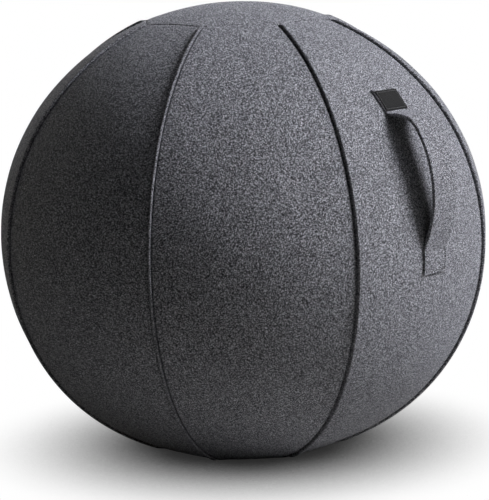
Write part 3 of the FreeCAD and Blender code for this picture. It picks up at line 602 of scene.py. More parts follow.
def panel_cut():
    """Widest width, length and area of the flat cut of a panel."""
    steps = 200
    low, high = COLUMN_ENDS[len(COLUMN_ENDS) // 2]
    widths = []
    for i in range(steps + 1):
        radius = outline(low + (high - low) * i / steps)[0]
        widths.append(2 * panel_reach(radius) * (radius + PANEL_SETBACK))
    length = (high - low) * (SIDE_RADIUS + BASE_RADIUS) / 2
    return max(widths), length, sum(widths) / len(widths) * length


cut_width, cut_length, cut_area = panel_cut()
columns, rows = len(COLUMN_SHARES), len(COLUMN_TURNS[0])
for index, panel_name in enumerate(PANEL_NAMES):
    panel_bm = closed_sheet(columns, rows, partial(panel_point, index), 0.0, FELT_INSIDE)
    panel = finish_mesh(panel_bm, "felt_panel_" + panel_name, "cover", cover_felt,
                        node_names=["cover_panel_" + panel_name])


# Top panel: the crown between its eight straight seams
CAP_RINGS = 34
CAP_COLUMNS = 8 * 24
CAP_SPACING = CAP_APOTHEM / (CAP_RINGS - 1)
CAP_EDGE = [step for step in EDGE_STEPS[1:] if step < CAP_SPACING * 0.9]
CORNER_LIFT = 0.002


def crown_height(radius, depth):
    return EQUATOR + CROWN_RISE - CROWN_RADIUS + math.sqrt((CROWN_RADIUS - depth) ** 2 - radius ** 2)


def cap_point(column, row, depth):
    """Point of the crown, on eight-sided rings that lie closer together at the edge."""
    azimuth = column * math.tau / CAP_COLUMNS
    edge = CAP_APOTHEM / math.cos(from_panel_middle(azimuth))
    lengths = [edge * i / (CAP_RINGS - 1) for i in range(CAP_RINGS - 1)]
    lengths += [edge - step for step in CAP_EDGE[::-1]] + [edge]
    radius = lengths[row]
    # The corners ride up a little where the upright seams pull on them.
    corner = (edge - CAP_APOTHEM) / (CAP_APOTHEM / math.cos(HALF) - CAP_APOTHEM)
    lift = CORNER_LIFT * corner ** 2 * smooth((radius / edge - 0.7) / 0.3)
    point = outward(azimuth) * radius + UP * (crown_height(radius, depth) + lift)
    if depth:
        return point
    below_edge = edge - radius
    return point + UP * (sway(point) * smooth(below_edge / SWAY_FROM_EDGE) - roll(below_edge, CAP_ROLL))


cap_rows = CAP_RINGS + len(CAP_EDGE)
cap_bm = closed_sheet(CAP_COLUMNS + 1, cap_rows, cap_point, 0.0, FELT_INSIDE)
cap = finish_mesh(cap_bm, "felt_top_panel", "cover", cover_felt,
                  node_names=["cover_top_panel"], weld=POLE_WELD)


# Piping: a felt-covered cord in each seam, on a web that is sewn between the panels
FLANGE_THICKNESS = 0.0008
BEAD_ABOVE = -0.0015
PIPING_SPACING = 0.0035
SMALL_TURN = 1e-4
# How far the piping stops short of its node's ends, and how it tucks in under the top panel, at the foot
# and, a quarter of the way, where the pull tab hangs over it
END_SHORT, FOOT_SHORT = 0.0006, 0.0016
CAP_TUCK, FOOT_TUCK, TAB_TUCK = 0.014, 0.02, 0.25
TUCK_DEPTH, TUCK_PINCH = 0.0038, 0.45
# Unevenness of the bead: waves per metre, and how far it wavers sideways or its width swells
WAVER, SWELL = (70.0, 0.00012), (160.0, 0.03)


def seam_reach(radius):
    """How far out a seam lies at the height where the panels' middle lines lie at a radius."""
    across = PANEL_SETBACK * math.cos(HALF)
    return -across + math.sqrt(across ** 2 + radius ** 2 + 2 * radius * PANEL_SETBACK)


def seam_station(turn, azimuth):
    """Point on the seam line, its outward direction square to the seam, and the sideways direction."""
    def seam_at(t):
        radius, height = outline(t)
        return seam_reach(radius), height
    here, ahead = seam_at(turn), seam_at(turn + SMALL_TURN)
    length = math.hypot(ahead[0] - here[0], ahead[1] - here[1])
    up = ((ahead[0] - here[0]) / length, (ahead[1] - here[1]) / length)
    out = outward(azimuth) * up[1] - UP * up[0]
    return outward(azimuth) * here[0] + UP * here[1], out, sideways(azimuth)


def piping_section():
    """Bead, web and the flange that is sewn under the panels: numbers across and outwards."""
    points = []
    neck = math.asin(WEB_HALF / BEAD_RADIUS)
    turns = 14
    for i in range(turns + 1):
        angle = -math.pi / 2 + neck + (math.tau - 2 * neck) * i / turns
        points.append((BEAD_PINCH * BEAD_RADIUS * math.cos(angle), BEAD_RISE + BEAD_RADIUS * math.sin(angle)))
    top = -(FELT + BEAD_GAP)
    fall = math.tan(FLANGE_SLOPE)
    left = [(-WEB_HALF, top), (-FLANGE_HALF, top - FLANGE_HALF * fall),
            (-FLANGE_HALF, top - FLANGE_HALF * fall - FLANGE_THICKNESS), (0.0, top - FLANGE_THICKNESS)]
    return points + left + [(-x, y) for x, y in left[-2::-1]]


PIPING_SECTION = piping_section()


def turn_at(height):
    """Turn at which the outline has a height, found by halving."""
    low, high = -1.4, 1.5
    for _ in range(50):
        middle = (low + high) / 2
        low, high = (middle, high) if outline(middle)[1] < height else (low, middle)
    return low


def build_piping(name, azimuth, node_name):
    low_height, high_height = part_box(node_name)[0].z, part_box(node_name)[1].z
    under_cap, at_foot, under_tab = high_height > 0.5, low_height < 0.02, high_height < 0.1
    low, high = turn_at(low_height + (FOOT_SHORT if at_foot else END_SHORT)), turn_at(high_height - END_SHORT)
    length = (high - low) * BASE_RADIUS
    steps = max(4, round(length / PIPING_SPACING))
    stations = []
    for i in range(steps + 1):
        origin, out, side = seam_station(low + (high - low) * i / steps, azimuth)
        waver = noise.noise(origin * WAVER[0]) * WAVER[1]
        swell = 1 + noise.noise(origin * SWELL[0]) * SWELL[1]
        tuck = 1 - smooth(length * (1 - i / steps) / CAP_TUCK) if under_cap else 0.0
        tuck = max(tuck, 1 - smooth(length * i / steps / FOOT_TUCK)) if at_foot else tuck
        tuck = max(tuck, TAB_TUCK) if under_tab else tuck

        def place(across, up, origin=origin, out=out, side=side, waver=waver, swell=swell, tuck=tuck):
            bead = up > BEAD_ABOVE
            across *= swell * (1 - TUCK_PINCH * tuck) if bead else 1.0
            up -= TUCK_DEPTH * tuck if bead else 0.0
            return origin + side * (across + waver + (BEAD_SHIFT if bead else 0.0)) + out * up
        stations.append(place)
    swept_tube(PIPING_SECTION, stations, name, "cover", piping_felt, [node_name])


for index, seam_name in enumerate(SEAM_NAMES):
    azimuth = (index + 0.5) * STEP
    ends = ("_lower", "_upper") if index == ZIP_SEAM else ("",)
    for end in ends:
        build_piping("piping_" + seam_name + end, azimuth, "seam_piping_" + seam_name + end)


# Handle: its middle line as steps of length and curvature in the front panel's plane, from the tail down
def walk(point, heading, length, curvature):
    """Where a step along the strap ends, and its heading there. A point is radius + height * 1j."""
    if curvature == 0:
        return point + length * complex(math.cos(heading), math.sin(heading)), heading
    new = heading + length * curvature
    ahead = complex(math.cos(new), math.sin(new)) - complex(math.cos(heading), math.sin(heading))
    return point + ahead / (1j * curvature), new


def turning(heading, new_heading, radius):
    """Step that turns from one heading to another."""
    return radius * abs(new_heading - heading), math.copysign(1 / radius, new_heading - heading)


def handle_steps():
    """Steps of the strap from its tail to its lower end, its first point and its first heading."""
    pad = SIDE_RADIUS + HANDLE_SEAT_GAP + HANDLE_THICKNESS / 2
    fold = CROWN_JOIN - HANDLE_FOLD_DROP / pad
    pad_top = fold - HANDLE_SPAN / pad
    tail = fold + (LABEL_LENGTH + HANDLE_TAIL) / pad

    def on_ball(angle):
        return complex(SIDE_SETOFF + pad * math.cos(angle), EQUATOR + pad * math.sin(angle))

    quarter = math.pi / 2
    fold_step = turning(fold - quarter, FOLD_HEADING, HANDLE_FOLD_RADIUS)
    shoulder_step = turning(FOLD_HEADING, SHOULDER_HEADING, HANDLE_SHOULDER_RADIUS)
    foot_step = turning(FOOT_HEADING, pad_top - quarter, HANDLE_FOOT_RADIUS)
    covered = (walk(0j, fold - quarter, *fold_step)[0] + walk(0j, FOLD_HEADING, *shoulder_step)[0]
               + walk(0j, FOOT_HEADING, HANDLE_FOOT_STRAIGHT, 0)[0] + walk(0j, FOOT_HEADING, *foot_step)[0])
    left = on_ball(pad_top) - on_ball(fold) - covered
    level = complex(math.cos(FOLD_HEADING), math.sin(FOLD_HEADING))
    bow = walk(0j, SHOULDER_HEADING, *turning(SHOULDER_HEADING, FOOT_HEADING, 1.0))[0]

    def cross(a, b):
        return a.real * b.imag - a.imag * b.real

    straight = cross(left, bow) / cross(level, bow)
    bow_radius = cross(level, left) / cross(level, bow)
    steps = [(HANDLE_TAIL + LABEL_LENGTH, -1 / pad), fold_step, (straight, 0.0), shoulder_step,
             turning(SHOULDER_HEADING, FOOT_HEADING, bow_radius), (HANDLE_FOOT_STRAIGHT, 0.0), foot_step,
             (HANDLE_PAD_LENGTH, -1 / pad)]
    return steps, on_ball(tail), tail - quarter


STRAP_STEPS, STRAP_START, STRAP_HEADING = handle_steps()
STRAP_LENGTHS = [length for length, curvature in STRAP_STEPS]
STRAP_LENGTH = sum(STRAP_LENGTHS)
FOLD_AT = STRAP_LENGTHS[0]
# The grip is cut from the strap within its shoulder and within its bow.
SHOULDER_SHARE, BOW_SHARE = 0.55, 0.72
GRIP_FROM = sum(STRAP_LENGTHS[:3]) + SHOULDER_SHARE * STRAP_LENGTHS[3]
GRIP_TO = sum(STRAP_LENGTHS[:4]) + BOW_SHARE * STRAP_LENGTHS[4]
FOOT_AT = sum(STRAP_LENGTHS[:7])
GRIP_MIDDLE = (GRIP_FROM + GRIP_TO) / 2


def strap_frame(distance):
    """Middle point of the strap and the direction square to its face, at a distance from its tail."""
    point, heading = STRAP_START, STRAP_HEADING
    for length, curvature in STRAP_STEPS:
        used = min(length, distance)
        point, heading = walk(point, heading, used, curvature)
        distance -= used
        if distance <= 1e-12:
            break
    square = 1j * complex(math.cos(heading), math.sin(heading))
    return Vector((0.0, -point.real, point.imag)), Vector((0.0, -square.real, square.imag))


PRESS_EASE_UPPER, PRESS_EASE_LOWER, PRESS_LEAD = 0.018, 0.010, 0.006
PRESSED_AWAY = 0.5


def pressed(distance):
    """How far the strap is squeezed flat by its stitching: wholly at both sewn ends, not at the grip."""
    upper = 1 - smooth((distance - FOLD_AT) / PRESS_EASE_UPPER)
    lower = smooth((distance - FOOT_AT + PRESS_LEAD) / PRESS_EASE_LOWER)
    return max(upper, lower)


def settled(distance, up):
    """Height of a point of the strap above its middle line, once the stitching has pressed it."""
    low = -HANDLE_THICKNESS / 2
    return low + (up - low) * (1 - PRESSED_AWAY * pressed(distance))


def strap_point(distance, across, up):
    origin, square = strap_frame(distance)
    return origin + Vector((across, 0.0, 0.0)) + square * up


# Stitching on the strap, as lines of (distance along, across) on its outer face
def stitched_box(low, high, side):
    """The four lines round a box, each from one corner to the next."""
    corners = [(low, -side), (low, side), (high, side), (high, -side)]
    return list(zip(corners, corners[1:] + corners[:1]))


PAD_INSET = 0.0032
PAD_LOW, PAD_HIGH = FOOT_AT + 0.004, STRAP_LENGTH - PAD_INSET
PAD_SIDE = HANDLE_WIDTH / 2 - PAD_INSET
PAD_CROSS = [((PAD_LOW, -PAD_SIDE), (PAD_HIGH, PAD_SIDE)), ((PAD_LOW, PAD_SIDE), (PAD_HIGH, -PAD_SIDE))]
PAD_STITCHES = stitched_box(PAD_LOW, PAD_HIGH, PAD_SIDE) + PAD_CROSS
LABEL_INSET = 0.0026
LABEL_LOW, LABEL_HIGH = HANDLE_TAIL + LABEL_INSET, FOLD_AT - LABEL_INSET
LABEL_STITCHES = stitched_box(LABEL_LOW, LABEL_HIGH, LABEL_WIDTH / 2 - LABEL_INSET)


def beside_line(line, distance, across):
    """Distance from a place on the strap to a stitched line."""
    (d0, a0), (d1, a1) = line
    run = Vector((d1 - d0, a1 - a0))
    place = Vector((distance - d0, across - a0))
    share = min(max(place.dot(run) / run.length_squared, 0.0), 1.0)
    return (place - run * share).length


def strap_section():
    """Two layers of felt sewn together: a flat oval with a fine groove round its edge."""
    half, thick, corner = HANDLE_WIDTH / 2, HANDLE_THICKNESS / 2, 0.0009
    face = [(-half + corner + (2 * half - 2 * corner) * i / 34, thick) for i in range(35)]
    edge = []
    for i in range(1, 4):
        angle = math.pi / 2 * (1 - i / 4)
        edge.append((half - corner + corner * math.cos(angle), thick - corner + corner * math.sin(angle)))
    edge += [(half, thick - corner), (half, 0.0009), (half - 0.0008, 0.0005)]
    inner = [(half - corner + corner * math.cos(math.pi / 2 * i / 4),
              -thick + corner - corner * math.sin(math.pi / 2 * i / 4)) for i in range(4)]
    right = edge + [(half, 0.0001)] + inner
    return face + right + [(-x, -y) for x, y in face] + [(-x, -y) for x, y in right]


WAVE = 0.00035
STITCH_DENT, STITCH_DENT_REACH = 0.0006, 0.0014
# The dark sheet under the strap is painted shade; it runs between the two sewn ends, set in from the strap's
# edges.
STRAP_SPACING, SHADE_SHEET_SPACING = 0.0013, 0.0016
SHADE_SHEET_FROM, SHADE_SHEET_TO = FOLD_AT + 0.003, FOOT_AT - 0.005
SHADE_SHEET_INSET = 0.0024
TIP_SQUEEZE, TIP_LENGTH = 0.3, 0.002
LIFT_START, LIFT_EASE = 0.002, 0.01


def strap_wave(distance, across):
    """Slight unevenness of the strap's faces, none at its edges."""
    free = smooth((HANDLE_WIDTH / 2 - abs(across)) / 0.006)
    return noise.noise(Vector((across * 30, distance * 26, 4.0))) * WAVE * free


def off_cover(distance):
    """0 on the two sewn ends, which lie flat on the cover, and 1 between them."""
    return (smooth((distance - FOLD_AT + LIFT_START) / LIFT_EASE)
            * smooth((FOOT_AT + LIFT_START - distance) / LIFT_EASE))


def strap_place(distance, across, up):
    """Point of the felt strap at a place of its section."""
    dent = 0.0
    if distance > FOOT_AT - 0.004 and up > 0:
        near = min(beside_line(line, distance, across) for line in PAD_STITCHES)
        dent = STITCH_DENT * math.exp(-(near / STITCH_DENT_REACH) ** 2)
    tip = min(distance, STRAP_LENGTH - distance)
    squeeze = 1 - TIP_SQUEEZE * (1 - smooth(tip / TIP_LENGTH))
    wave = strap_wave(distance, across) * (off_cover(distance) if up < 0 else 1.0)
    return strap_point(distance, across, settled(distance, up * squeeze) - dent + wave)


def shade_sheet_place(distance, across, rise):
    """Point of the dark sheet of painted shade under the strap, which follows the strap's inner face."""
    inner = settled(distance, -HANDLE_THICKNESS / 2)
    return strap_point(distance, across, inner + rise + strap_wave(distance, across) * off_cover(distance))


# Section of the dark sheet of painted shade under the strap.
def shade_sheet_section():
    half = HANDLE_WIDTH / 2 - SHADE_SHEET_INSET
    across_steps = [-half + 2 * half * i / 30 for i in range(31)]
    return [(x, 0.0003) for x in across_steps] + [(x, -0.0002) for x in across_steps[::-1]]


def build_strap(name, start, end, blend_start, blend_end, node_names):
    """One half of the strap and its dark sheet of painted shade, on the side that faces the ball."""
    strap = swept_tube(strap_section(), even_stations(strap_place, start, end, STRAP_SPACING), name, None,
                       handle_felt, node_names, crisp_ends=True)
    covered = even_stations(shade_sheet_place, max(start, SHADE_SHEET_FROM), min(end, SHADE_SHEET_TO), SHADE_SHEET_SPACING)
    shade_sheet = swept_tube(shade_sheet_section(), covered, name + "_painted_shade", None, strap_painted_shade)
    for piece in (strap, shade_sheet):
        tuple(strap_frame(blend_start)[0])
        tuple(strap_frame(blend_end)[0])
        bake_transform(piece)


build_strap("strap_upper", 0.0, GRIP_MIDDLE, FOLD_AT, GRIP_FROM,
            ["handle_upper_end", "handle_upper_bend", "handle_grip"])
build_strap("strap_lower", GRIP_MIDDLE, STRAP_LENGTH, FOOT_AT, GRIP_TO,
            ["handle_lower_bend", "handle_lower_end"])


# Label patch: bare woven tape over the strap's upper sewn end
LABEL_CORNER = 0.0004
LABEL_DENT, LABEL_DENT_REACH = 0.00035, 0.0011
LABEL_END_DROP, LABEL_END_REACH = 0.0003, 0.0006


def build_label():
    half, thick, corner = LABEL_WIDTH / 2, LABEL_THICKNESS, LABEL_CORNER
    low = HANDLE_SEAT_GAP / 2
    face = [(-half + corner + (2 * half - 2 * corner) * i / 30, thick) for i in range(31)]
    section = face + [(half - corner * 0.3, thick - corner * 0.3), (half, thick - corner), (half, 0.0),
                      (-half, 0.0), (-half, thick - corner), (-half + corner * 0.3, thick - corner * 0.3)]

    def place(distance, across, up):
        dent = ease = 0.0
        if up > thick / 2:
            near = min(beside_line(line, distance, across) for line in LABEL_STITCHES)
            dent = LABEL_DENT * math.exp(-(near / LABEL_DENT_REACH) ** 2)
            tip = min(distance - HANDLE_TAIL, FOLD_AT - distance)
            ease = LABEL_END_DROP * (1 - smooth(tip / LABEL_END_REACH))
        return strap_point(distance, across, low + up - dent - ease)

    stations = even_stations(place, HANDLE_TAIL, HANDLE_TAIL + LABEL_LENGTH, LABEL_LENGTH / 30)
    swept_tube(section, stations, "label_tape", "cover", label_cloth, ["label_patch"])


build_label()


# One stitch: share of its length, rise and size as shares of the thread's thickness
STITCH_SHAPE = ((0.0, -0.9, 0.5), (0.14, 0.1, 0.95), (0.5, 0.42, 1.0), (0.86, 0.1, 0.95), (1.0, -0.9, 0.5))
STITCH_FILL = 0.8
STITCH_MARGIN = 0.1


def make_stitch(thickness, length):
    """Mesh of one stitch to be copied: a short round rod along X that dips into the cloth at both ends."""
    bm = bmesh.new()
    edges = []
    for share, rise, size in STITCH_SHAPE:
        ring = bmesh.ops.create_circle(bm, cap_ends=False, radius=thickness * size, segments=6)["verts"]
        for vert in ring:
            vert.co = Vector((length * share, -vert.co.x, vert.co.y + rise * thickness))
        edges.append([edge for edge in bm.edges if edge.verts[0] in ring and edge.verts[1] in ring])
    for first, second in zip(edges, edges[1:]):
        bmesh.ops.bridge_loops(bm, edges=first + second)
    bmesh.ops.contextual_create(bm, geom=edges[0])
    bmesh.ops.contextual_create(bm, geom=edges[-1])
    bmesh.ops.recalc_face_normals(bm, faces=bm.faces)
    return mesh_from(bm, "stitch_pattern")


def sew(name, lines, up, pitch, thickness, dent):
    """Rows of stitches along lines on the strap's face, as one piece."""
    pattern = make_stitch(thickness, pitch * STITCH_FILL)
    bm = bmesh.new()
    for (d0, a0), (d1, a1) in lines:
        length = math.hypot(d1 - d0, a1 - a0)
        count = max(1, round(length / pitch))
        for i in range(count):
            share = (i + STITCH_MARGIN) / count
            later = (i + 1 - STITCH_MARGIN) / count
            first, last = d0 + (d1 - d0) * share, d0 + (d1 - d0) * later
            start = strap_point(first, a0 + (a1 - a0) * share, settled(first, up) - dent)
            end = strap_point(last, a0 + (a1 - a0) * later, settled(last, up) - dent)
            run = end - start
            side = strap_frame(first)[1].cross(run).normalized()
            square = run.cross(side).normalized()
            turned = Matrix((run.normalized(), side, square)).transposed().to_4x4()
            new = copy_in(bm, pattern)
            bmesh.ops.scale(bm, verts=new, vec=(run.length / (pitch * STITCH_FILL), 1.0, 1.0))
            bmesh.ops.transform(bm, matrix=Matrix.Translation(start) @ turned, verts=new)
    bpy.data.meshes.remove(pattern)
    finish_mesh(bm, name, "cover", thread)


sew("pad_stitching", PAD_STITCHES, HANDLE_THICKNESS / 2, 0.0036, 0.00036, 0.0005)
sew("label_stitching", LABEL_STITCHES, HANDLE_THICKNESS / 2 + HANDLE_SEAT_GAP + 2 * LABEL_THICKNESS,
    0.0030, 0.0003, 0.00025)


# Zip in a back seam, on the circle through three points of the seam
def seam_radius(height):
    return seam_reach(outline(turn_at(height))[0])


def zip_circle():
    """Centre and radius of the zip's circle, as radius + height * 1j."""
    p, q, r = [complex(seam_radius(z), z) for z in (ZIP_LOW, (ZIP_LOW + ZIP_HIGH) / 2, ZIP_HIGH)]
    b, c = q - p, r - p
    d = 2 * (b.real * c.imag - b.imag * c.real)
    centre = complex((c.imag * abs(b) ** 2 - b.imag * abs(c) ** 2) / d,
                     (b.real * abs(c) ** 2 - c.real * abs(b) ** 2) / d)
    return p + centre, abs(centre)


ZIP_CENTRE, ZIP_RADIUS = zip_circle()
ZIP_AZIMUTH = (ZIP_SEAM + 0.5) * STEP
TAPE_FACE = FELT + TAPE_CLEARANCE
CHAIN_SIDE = CHAIN_HALF_GAP + CHAIN_WIDTH


def zip_angle(height):
    return math.asin((height - ZIP_CENTRE.imag) / ZIP_RADIUS)


def zip_point(angle, across, up):
    """Point on the zip: an angle on its circle, sideways, and outwards from the seam line."""
    arm = ZIP_RADIUS + up
    radius = ZIP_CENTRE.real + arm * math.cos(angle)
    return (outward(ZIP_AZIMUTH) * radius + sideways(ZIP_AZIMUTH) * across
            + UP * (ZIP_CENTRE.imag + arm * math.sin(angle)))


TAPE_STEPS = 110
RIB_HEIGHT, RIB_SINK, RADIANS_PER_METRE = 0.00006, 0.00008, 4200


def build_tape(side, label):
    """Woven tape with fine ribs along it, sewn under its panel's edge."""
    low, high = zip_angle(ZIP_LOW - ZIP_RUN_OUT), zip_angle(ZIP_HIGH + ZIP_RUN_OUT)
    inner, outer = CHAIN_HALF_GAP, CHAIN_HALF_GAP + TAPE_WIDTH
    fall = math.tan(FLANGE_SLOPE)
    face = []
    for i in range(17):
        across = inner + (outer - inner) * i / 16
        rib = RIB_HEIGHT * math.sin(across * RADIANS_PER_METRE)
        drop = max(0.0, across - CHAIN_SIDE) * fall
        face.append((across, -TAPE_FACE - drop - RIB_SINK + rib))
    back = [(across, up - TAPE_THICKNESS + 0.0002) for across, up in face[::-1]]
    section = [(side * across, up) for across, up in face + back]
    stations = even_stations(zip_point, low, high, (high - low) / TAPE_STEPS)
    swept_tube(section, stations, "tape_" + label, "cover", tape_cloth, ["zip_tape_" + label])


TOOTH_PITCH = 0.0022
TOOTH_CORNER = 0.00028


def tooth_pattern():
    """One moulded tooth: its rounded head at 0 across, its foot at the chain's width."""
    bm = bmesh.new()
    made = bmesh.ops.create_cube(bm, size=1.0)["verts"]
    for vert in made:
        head = vert.co.x < 0
        half = 0.36 * TOOTH_PITCH * (1.0 if head else 0.72)
        top = CHAIN_HEIGHT - (0.0001 if head else 0.0006)
        vert.co = Vector((0.0001 if head else CHAIN_WIDTH - 0.0001, math.copysign(half, vert.co.y),
                          0.00005 if vert.co.z < 0 else top))
    bmesh.ops.bevel(bm, geom=bm.edges[:], offset=TOOTH_CORNER, segments=2, affect="EDGES", profile=0.5,
                    material=-1)
    return mesh_from(bm, "tooth_pattern")


def build_teeth(side, label, offset):
    """One row of teeth on its tape, half a pitch from the other row."""
    low, high = zip_angle(ZIP_LOW), zip_angle(ZIP_HIGH)
    count = int((high - low) * ZIP_RADIUS / TOOTH_PITCH) - 1
    pattern = tooth_pattern()
    bm = bmesh.new()
    for i in range(count):
        angle = low + ((i + 0.5 + offset) * TOOTH_PITCH + 0.0003) / ZIP_RADIUS
        for vert in copy_in(bm, pattern):
            vert.co = zip_point(angle + vert.co.y / ZIP_RADIUS, side * (CHAIN_HALF_GAP + vert.co.x),
                                vert.co.z - TAPE_FACE)
    bpy.data.meshes.remove(pattern)
    finish_mesh(bm, "teeth_" + label, "cover", zip_nylon, smooth_shading=False,
                node_names=["zip_teeth_" + label])


build_tape(1, "left")
build_tape(-1, "right")
build_teeth(1, "left", 0.0)
build_teeth(-1, "right", 0.5)


FLAT_ANGLE, SHARP_ANGLE = math.radians(2.0), math.radians(35)


def softened(node_name, name, body, width):
    """Enamelled copy of a CAD node with its corners eased, as a die-cast part has them."""
    bm = bmesh.new()
    bm.from_mesh(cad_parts[node_name].data)
    bmesh.ops.remove_doubles(bm, verts=bm.verts, dist=PROFILE_WELD)
    bmesh.ops.recalc_face_normals(bm, faces=bm.faces)
    bmesh.ops.dissolve_limit(bm, angle_limit=FLAT_ANGLE, verts=bm.verts, edges=bm.edges)
    sharp = [edge for edge in bm.edges if edge.is_manifold and edge.calc_face_angle() > SHARP_ANGLE]
    bmesh.ops.bevel(bm, geom=sharp, offset=width, segments=2, affect="EDGES", profile=0.5, material=-1,
                    clamp_overlap=True)
    piece = add_object(name, mesh_from(bm, name))
    piece.data.materials.append(zip_enamel)
    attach(piece, body)
    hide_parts(node_name)


softened("zip_slider", "slider", "zip_slider", 0.0002)
softened("zip_pull_tab", "pull_tab", "zip_pull_tab", 0.0003)
softened("zip_lower_stop", "lower_stop", "cover", 0.0003)
softened("zip_upper_stop", "upper_stop", "cover", 0.0003)


# Foot: an eight-sided cloth panel with rows of soft grip dots under it
DOT_PITCH = 0.0115
DOT_RADIUS = 0.0027
DOT_HEIGHT = 0.0008
DOT_MARGIN = 0.007
DOT_ROW_STEP = 0.866


def build_base():
    rings, columns = 12, 8 * 10

    def place(column, row, height):
        azimuth = column * math.tau / columns
        edge = BASE_APOTHEM / math.cos(from_panel_middle(azimuth))
        share = row / (rings - 1)
        ease = 0.0004 * smooth((share - 0.985) / 0.015) * (1 if height < 0.002 else -1)
        return outward(azimuth) * (edge * share) + UP * (height + ease)

    bm = closed_sheet(columns + 1, rings, place, BASE_THICKNESS, DOT_HEIGHT)
    base = finish_mesh(bm, "foot_panel", "cover", base_cloth, node_names=["base_panel"],
                       weld=POLE_WELD)
    dots = bmesh.new()
    reach = int(BASE_APOTHEM / DOT_PITCH) + 1
    for i in range(-reach, reach + 1):
        for j in range(-reach, reach + 1):
            x, y = (i + 0.5 * (j % 2)) * DOT_PITCH, j * DOT_PITCH * DOT_ROW_STEP
            beside = from_panel_middle(math.atan2(x, -y))
            if math.hypot(x, y) * math.cos(beside) > BASE_APOTHEM - DOT_MARGIN:
                continue
            dome = bmesh.ops.create_uvsphere(dots, u_segments=8, v_segments=4, radius=1.0)["verts"]
            for vert in dome:
                vert.co = Vector((x + vert.co.x * DOT_RADIUS, y + vert.co.y * DOT_RADIUS,
                                  DOT_HEIGHT + vert.co.z * DOT_HEIGHT))
    finish_mesh(dots, "grip_dots", "cover", grip_rubber)


build_base()


# Inside: weighted ring in its sleeve, and the inflated ball pressed down over it
RING_INSET = 0.019
RING_BAR = 0.010
SLEEVE_GAP = 0.0002
SLEEVE_WALL = 0.001
SLEEVE_HEM = 0.006
RING_RADIUS = BASE_APOTHEM - RING_INSET
RING_LOW = BASE_THICKNESS + SLEEVE_GAP / 2
RING_HEIGHT = RING_LOW + RING_BAR
SLEEVE_IN = RING_BAR + SLEEVE_GAP
SLEEVE_OUT = SLEEVE_IN + SLEEVE_WALL
HEM_TOP = RING_LOW + SLEEVE_WALL
HEM_END = SLEEVE_OUT + SLEEVE_HEM


def spun(name, profile, steps, material, node_names, shape=None):
    """Closed profile of (radius, height) points spun once round the upright axis."""
    bm = bmesh.new()
    verts = [bm.verts.new((radius, 0.0, height)) for radius, height in profile]
    for first, second in zip(verts, verts[1:] + verts[:1]):
        if first.co.x > 0 or second.co.x > 0:
            bm.edges.new((first, second))
    bmesh.ops.spin(bm, geom=bm.verts[:] + bm.edges[:], cent=(0, 0, 0), axis=(0, 0, 1), dvec=(0, 0, 0),
                   angle=math.tau, steps=steps, use_merge=True, use_duplicate=False)
    bmesh.ops.remove_doubles(bm, verts=bm.verts, dist=PROFILE_WELD)
    if shape:
        for vert in bm.verts:
            vert.co = shape(vert.co)
    return finish_mesh(bm, name, "cover", material, node_names=node_names)


def arc_points(centre, radius, start, end, count):
    return [(centre[0] + radius * math.cos(start + (end - start) * i / count),
             centre[1] + radius * math.sin(start + (end - start) * i / count)) for i in range(count + 1)]


def build_sleeve():
    ring = (RING_RADIUS, RING_HEIGHT)
    profile = arc_points(ring, SLEEVE_OUT, 0.0, math.pi, 18)
    profile += [(ring[0] - SLEEVE_OUT, HEM_TOP), (ring[0] - HEM_END, HEM_TOP), (ring[0] - HEM_END, RING_LOW),
                (ring[0] - SLEEVE_IN, RING_LOW)]
    profile += arc_points(ring, SLEEVE_IN, math.pi, 0.0, 18)
    profile += [(ring[0] + SLEEVE_IN, RING_LOW), (ring[0] + HEM_END, RING_LOW),
                (ring[0] + HEM_END, HEM_TOP), (ring[0] + SLEEVE_OUT, HEM_TOP)]

    def gathered(point):
        azimuth = math.atan2(point.y, point.x)
        out = Vector((point.x, point.y, 0.0)).normalized()
        arm = point - out * RING_RADIUS - UP * RING_HEIGHT
        crease = 0.00012 * math.sin(azimuth * 60) * smooth(point.z / RING_HEIGHT - 0.4)
        return point + arm.normalized() * crease

    spun("ring_cloth", profile, 240, lining_cloth, ["ring_sleeve"], gathered)


build_sleeve()

BALL_GAP = 0.0003
BALL_WALL = 0.0011
SKIN_OUT = FELT + BALL_GAP
SKIN_FLOOR = HEM_TOP + BALL_GAP
VALVE_AZIMUTH = (ZIP_SEAM + 1.5) * STEP
VALVE_TURN = math.radians(-31.0)
SEAT_RADIUS = 0.010
SEAT_CLEARANCE = 0.00008
# Moulded rings round the ball, in the band that lies this near to its widest place
BALL_RING_DEPTH = 0.0004
RINGED_BAND = 0.12


def ball_line(inset, floor, clearance):
    """One face of the skin from its top down to its middle underneath, with its moulded rings."""
    side, crown = (SIDE_SETOFF, EQUATOR), (0.0, EQUATOR + CROWN_RISE - CROWN_RADIUS)
    base = (0.0, EQUATOR - BASE_FALL + BASE_RADIUS)
    foot_turn = -math.acos(math.sqrt((BASE_RADIUS - inset) ** 2 - (base[1] - floor) ** 2)
                           / (BASE_RADIUS - inset))
    reach = SLEEVE_OUT + clearance
    ring = (RING_RADIUS, RING_HEIGHT)
    line = arc_points(crown, CROWN_RADIUS - inset, math.pi / 2, CROWN_JOIN, 14)[:-1]
    line += arc_points(side, SIDE_RADIUS - inset, CROWN_JOIN, BASE_JOIN, 60)[:-1]
    line += arc_points(base, BASE_RADIUS - inset, BASE_JOIN, foot_turn, 10)
    line = [(x, z) if abs(z - EQUATOR) > RINGED_BAND or i % 3 else (x - BALL_RING_DEPTH, z)
            for i, (x, z) in enumerate(line)]
    line += [(ring[0] + reach, floor)] + arc_points(ring, reach, 0.0, math.pi, 12)
    return line + [(ring[0] - reach, floor), (0.0, floor)]


